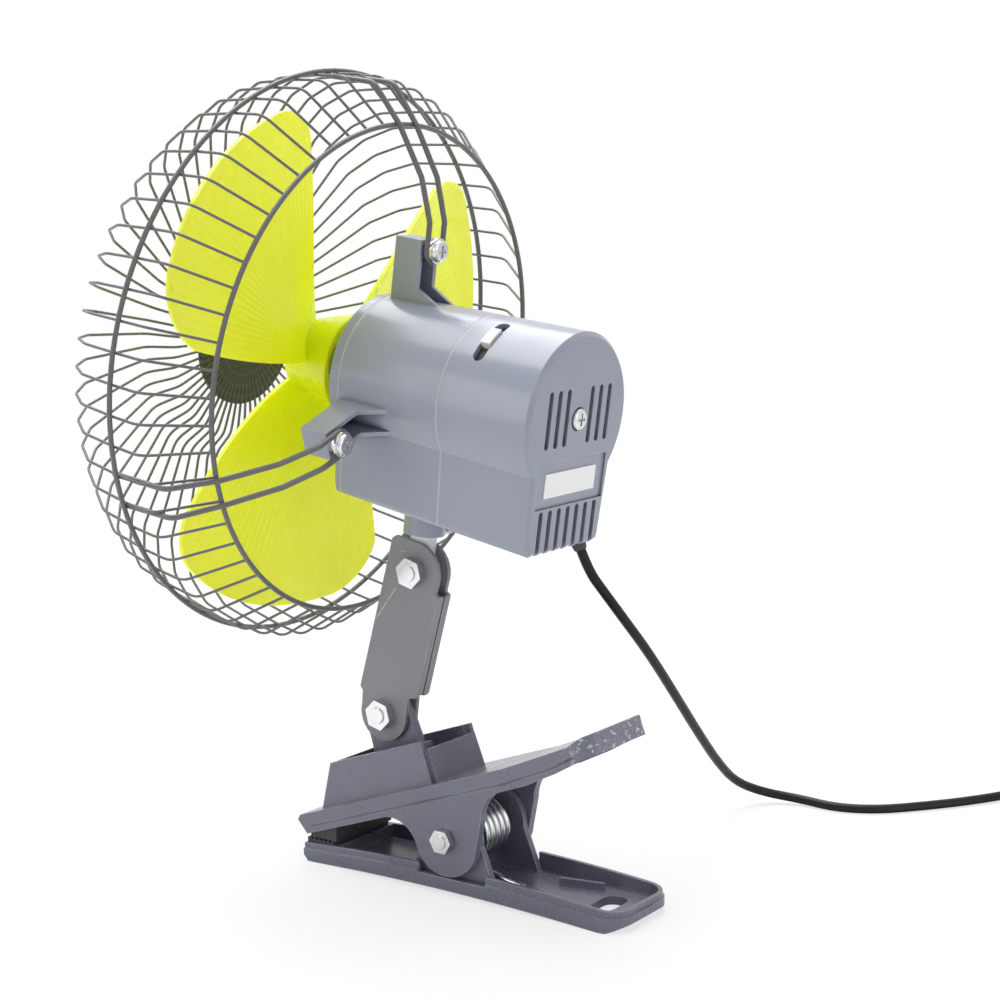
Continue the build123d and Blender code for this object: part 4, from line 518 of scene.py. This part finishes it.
# %% Cord route
SHIFT = Vector((0.0, -42.7239, 0.0))
CORD_D = 3.6
CORD_GAP = 0.75
ROUTE = [
    (-18.03, 99.51, 124.0),
    (-19.8, 101.87, 116.03),
    (-24.0, 105.4, 108.5),
    (-33.0, 108.6, 97.0),
    (-46.0, 109.8, 84.0),
    (-61.0, 108.8, 70.2),
    (-77.0, 107.2, 55.5),
    (-95.0, 105.0, 39.5),
    (-113.0, 102.6, 24.5),
    (-130.0, 101.6, 11.5),
    (-144.0, 107.0, 4.4),
    (-150.5, 121.0, 2.3),
    (-149.5, 137.0, 1.9),
    (-156.5, 152.0, 1.9),
    (-171.0, 164.5, 1.9),
    (-188.0, 177.0, 1.9),
    (-207.0, 188.5, 2.2),
]
COIL_START = (-232.0, 203.0)
COIL_HEADING = 150.6
COIL_INNER_R = 11.2
COIL_STEP = 4.9
COIL_TURNS = 4
COIL_LIFT = 1.1
COIL_POINTS = 24
PLUG_RUN = 50.0
PLUG_SIDE = 20.0
PLUG_GRIP_R = 11.4
TABLE_GAP = 0.02
LEAD = ((14.0, 0.5), (29.0, 1.8), (50.0, 3.8))


def level(angle):
    """A level direction."""
    return Vector((math.cos(math.radians(angle)), math.sin(math.radians(angle)), 0.0))


def coil_route(start, heading):
    """Turns wound inward on the table, one half turn that climbs, and turns wound outward on top."""
    outer = COIL_INNER_R + COIL_STEP * COIL_TURNS
    middle = start + level(heading) * CORD_D + level(heading - 90) * outer
    low, high = start.z, start.z + CORD_D + CORD_GAP
    half_turns = 2 * COIL_TURNS
    radii = [outer - COIL_STEP / 2 * n for n in range(half_turns + 1)]
    radii += [COIL_INNER_R + COIL_STEP / 2 * n for n in range(half_turns + 2)]
    halves = np.arange(len(radii))
    steps = np.linspace(0, len(radii) - 1, (len(radii) - 1) * COIL_POINTS // 2 + 1)
    r = np.interp(steps, halves, radii)
    z = np.interp(steps, halves, np.where(halves <= half_turns, low, high))
    angle = np.radians(heading + 90 - 180 * steps)
    return np.stack([middle.x + r * np.cos(angle), middle.y + r * np.sin(angle), z], axis=1)


def lead_route(last, start, heading):
    """From the coil's last turn forward, round a corner and into the plug."""
    ahead = level(heading)
    run = [last + ahead * forward + Vector((0, 0, rise)) for forward, rise in LEAD]
    end = start + ahead * (CORD_D + PLUG_RUN) + level(heading - 90) * PLUG_SIDE
    end.z = PLUG_GRIP_R + TABLE_GAP
    return np.array([*run, end])


start = Vector((*COIL_START, CORD_D / 2 + COIL_LIFT))
turns = coil_route(start, COIL_HEADING)
lead = lead_route(Vector(turns[-1]), start, COIL_HEADING)
print("coil points:", len(turns), "from", turns[0].round(1), "to", turns[-1].round(1))


# %% The cord's curve
def along(points, name, diameter):
    """One smooth curve of round section that goes near every point, which are in millimetres."""
    curve = bpy.data.curves.new(name, "CURVE")
    curve.dimensions = "3D"
    curve.bevel_depth = diameter / 2 * MM
    curve.bevel_resolution = 4
    curve.resolution_u = 6
    curve.use_fill_caps = True
    spline = curve.splines.new("NURBS")
    spline.points.add(len(points) - 1)
    placed = np.ones((len(points), 4))
    placed[:, :3] = (points + np.array(SHIFT)) * MM
    spline.points.foreach_set("co", placed.ravel())
    spline.order_u = 3
    spline.use_endpoint_u = True
    made = bpy.data.objects.new(name, curve)
    bpy.context.scene.collection.objects.link(made)
    return made


flex_points = np.concatenate([np.array(ROUTE), turns, lead])
flex = along(flex_points, "flex", CORD_D)
print("flex:", len(flex_points), "points")

# %% [markdown]
# The cord is black vinyl. Its colour is nearly black, and its shine is low, because it would
# otherwise mirror the white room and look grey. Dust dulls it in patches.

# %% Cord finish
cord_look = Look("cord_vinyl")
dust = cord_look.noise(300.0, 4.0, 0.6)
cord_look.set(
    Base_Color=cord_look.mix(dust * 0.3, colour(9, 9, 10), colour(34, 34, 36)),
    Roughness=0.28 + dust * 0.25,
    Normal=cord_look.bump(dust, 0.15, 0.2 * MM),
    Specular_IOR_Level=0.25,
)
flex.data.materials.append(cord_look.material)
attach(flex, "base")
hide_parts("power_cord", "cord_coil")

# %% [markdown]
# ## The camera
# The photograph was taken from behind and a little above, with a long lens. The camera stands where
# the lines of the housing and the clip run the same way as in the photograph.

# %% Camera
AZIMUTH = math.radians(35.27)
ELEVATION = math.radians(9.36)
CAMERA_PLACE = (0.59653, 0.45654, 0.26236)
FOCAL_LENGTH = 75.91
lens = bpy.data.cameras.new("camera")
lens.lens = FOCAL_LENGTH
lens.sensor_width = 36.0
lens.clip_start = 0.02
lens.clip_end = 60.0
camera = bpy.data.objects.new("camera", lens)
bpy.context.scene.collection.objects.link(camera)
level_share = math.cos(ELEVATION)
towards = -Vector((math.cos(AZIMUTH) * level_share, math.sin(AZIMUTH) * level_share, math.sin(ELEVATION)))
camera.location = CAMERA_PLACE
camera.rotation_euler = towards.to_track_quat("-Z", "Y").to_euler()
bpy.context.scene.camera = camera
print("camera looks", [round(c, 3) for c in towards])

# %% [markdown]
# ## A white room
# The product stands in a white room without corners. The floor is a pale matte sheet, so the fan's
# own shadow falls on it. A big soft lamp hangs overhead and makes the bright band on the housing's
# top, and one at each side of the camera lifts the sides. The camera itself sees only white behind
# the object.

# %% Floor
FLOOR_HALF = 6.0
FLOOR_WHITE = 0.7
WHITER_FROM = 0.45
WHITE_BY = 1.3
floor_mesh = bpy.data.meshes.new("floor")
signs = [(-1, -1), (1, -1), (1, 1), (-1, 1)]
floor_corners = [(x * FLOOR_HALF, y * FLOOR_HALF, 0.0) for x, y in signs]
floor_mesh.from_pydata(floor_corners, [], [(0, 1, 2, 3)])
floor = bpy.data.objects.new("floor", floor_mesh)
bpy.context.scene.collection.objects.link(floor)
paper = Look("paper")
paper.set(Base_Color=colour(250, 250, 250), Roughness=0.9, Specular_IOR_Level=0.1)
distance = paper.node("ShaderNodeVectorMath", {"operation": "LENGTH"}, {0: paper.place()}).pick("Value")
far_white = paper.node("ShaderNodeEmission", None, {"Color": (1.0, 1.0, 1.0, 1.0), "Strength": 1.0})
near = Value(paper, paper.shader.outputs["BSDF"])
ray = paper.node("ShaderNodeLightPath")
whiter = FLOOR_WHITE + distance.between(WHITER_FROM, WHITE_BY) * (1 - FLOOR_WHITE)
sockets = {0: ray.pick("Is Camera Ray") * whiter, 1: near, 2: far_white}
mixed = paper.node("ShaderNodeMixShader", None, sockets)
paper.feed(paper.tree.nodes["Material Output"].inputs["Surface"], mixed)
floor_mesh.materials.append(paper.material)
print("floor:", 2 * FLOOR_HALF, "m wide")


# %% Lamps
MIDDLE = Vector((0.0, 0.02, 0.16))
LAMPS = {
    "overhead": ((-0.2, -0.4, 1.3), (1.4, 1.3), 26.0),
    "right": ((0.25, 1.5, 0.5), (0.9, 0.9), 4.0),
    "left": ((1.3, -0.7, 0.5), (0.5, 1.0), 4.0),
}


def lamp(name, place, size, power):
    """A soft flat lamp at place, facing the middle of the fan. Sizes are in metres and power in watts."""
    light = bpy.data.lights.new(name, "AREA")
    light.shape = "RECTANGLE"
    light.size, light.size_y = size
    light.energy = power
    made = bpy.data.objects.new(name, light)
    bpy.context.scene.collection.objects.link(made)
    made.location = place
    made.rotation_euler = (MIDDLE - Vector(place)).to_track_quat("-Z", "Y").to_euler()


for name, (place, size, power) in LAMPS.items():
    lamp(name, place, size, power)
print("lamps:", len(LAMPS))

# %% Room
ROOM_LIGHT = 0.35
world = bpy.data.worlds.new("room")
world.use_nodes = True
bpy.context.scene.world = world
tree = world.node_tree
path = tree.nodes.new("ShaderNodeLightPath")
room = tree.nodes["Background"]
room.inputs["Strength"].default_value = ROOM_LIGHT
seen = tree.nodes.new("ShaderNodeBackground")
seen.inputs["Strength"].default_value = 1.0
seen.inputs["Color"].default_value = (1.0, 1.0, 1.0, 1.0)
room.inputs["Color"].default_value = (1.0, 1.0, 1.0, 1.0)
choose = tree.nodes.new("ShaderNodeMixShader")
shown = path.outputs["Is Camera Ray"]
for kind in ("Is Glossy Ray", "Is Transmission Ray"):
    either = tree.nodes.new("ShaderNodeMath")
    either.operation = "MAXIMUM"
    tree.links.new(shown, either.inputs[0])
    tree.links.new(path.outputs[kind], either.inputs[1])
    shown = either.outputs[0]
tree.links.new(shown, choose.inputs["Fac"])
tree.links.new(room.outputs["Background"], choose.inputs[1])
tree.links.new(seen.outputs["Background"], choose.inputs[2])
tree.links.new(choose.outputs["Shader"], tree.nodes["World Output"].inputs["Surface"])
bpy.context.scene.view_settings.view_transform = "Standard"
print("room light", ROOM_LIGHT)
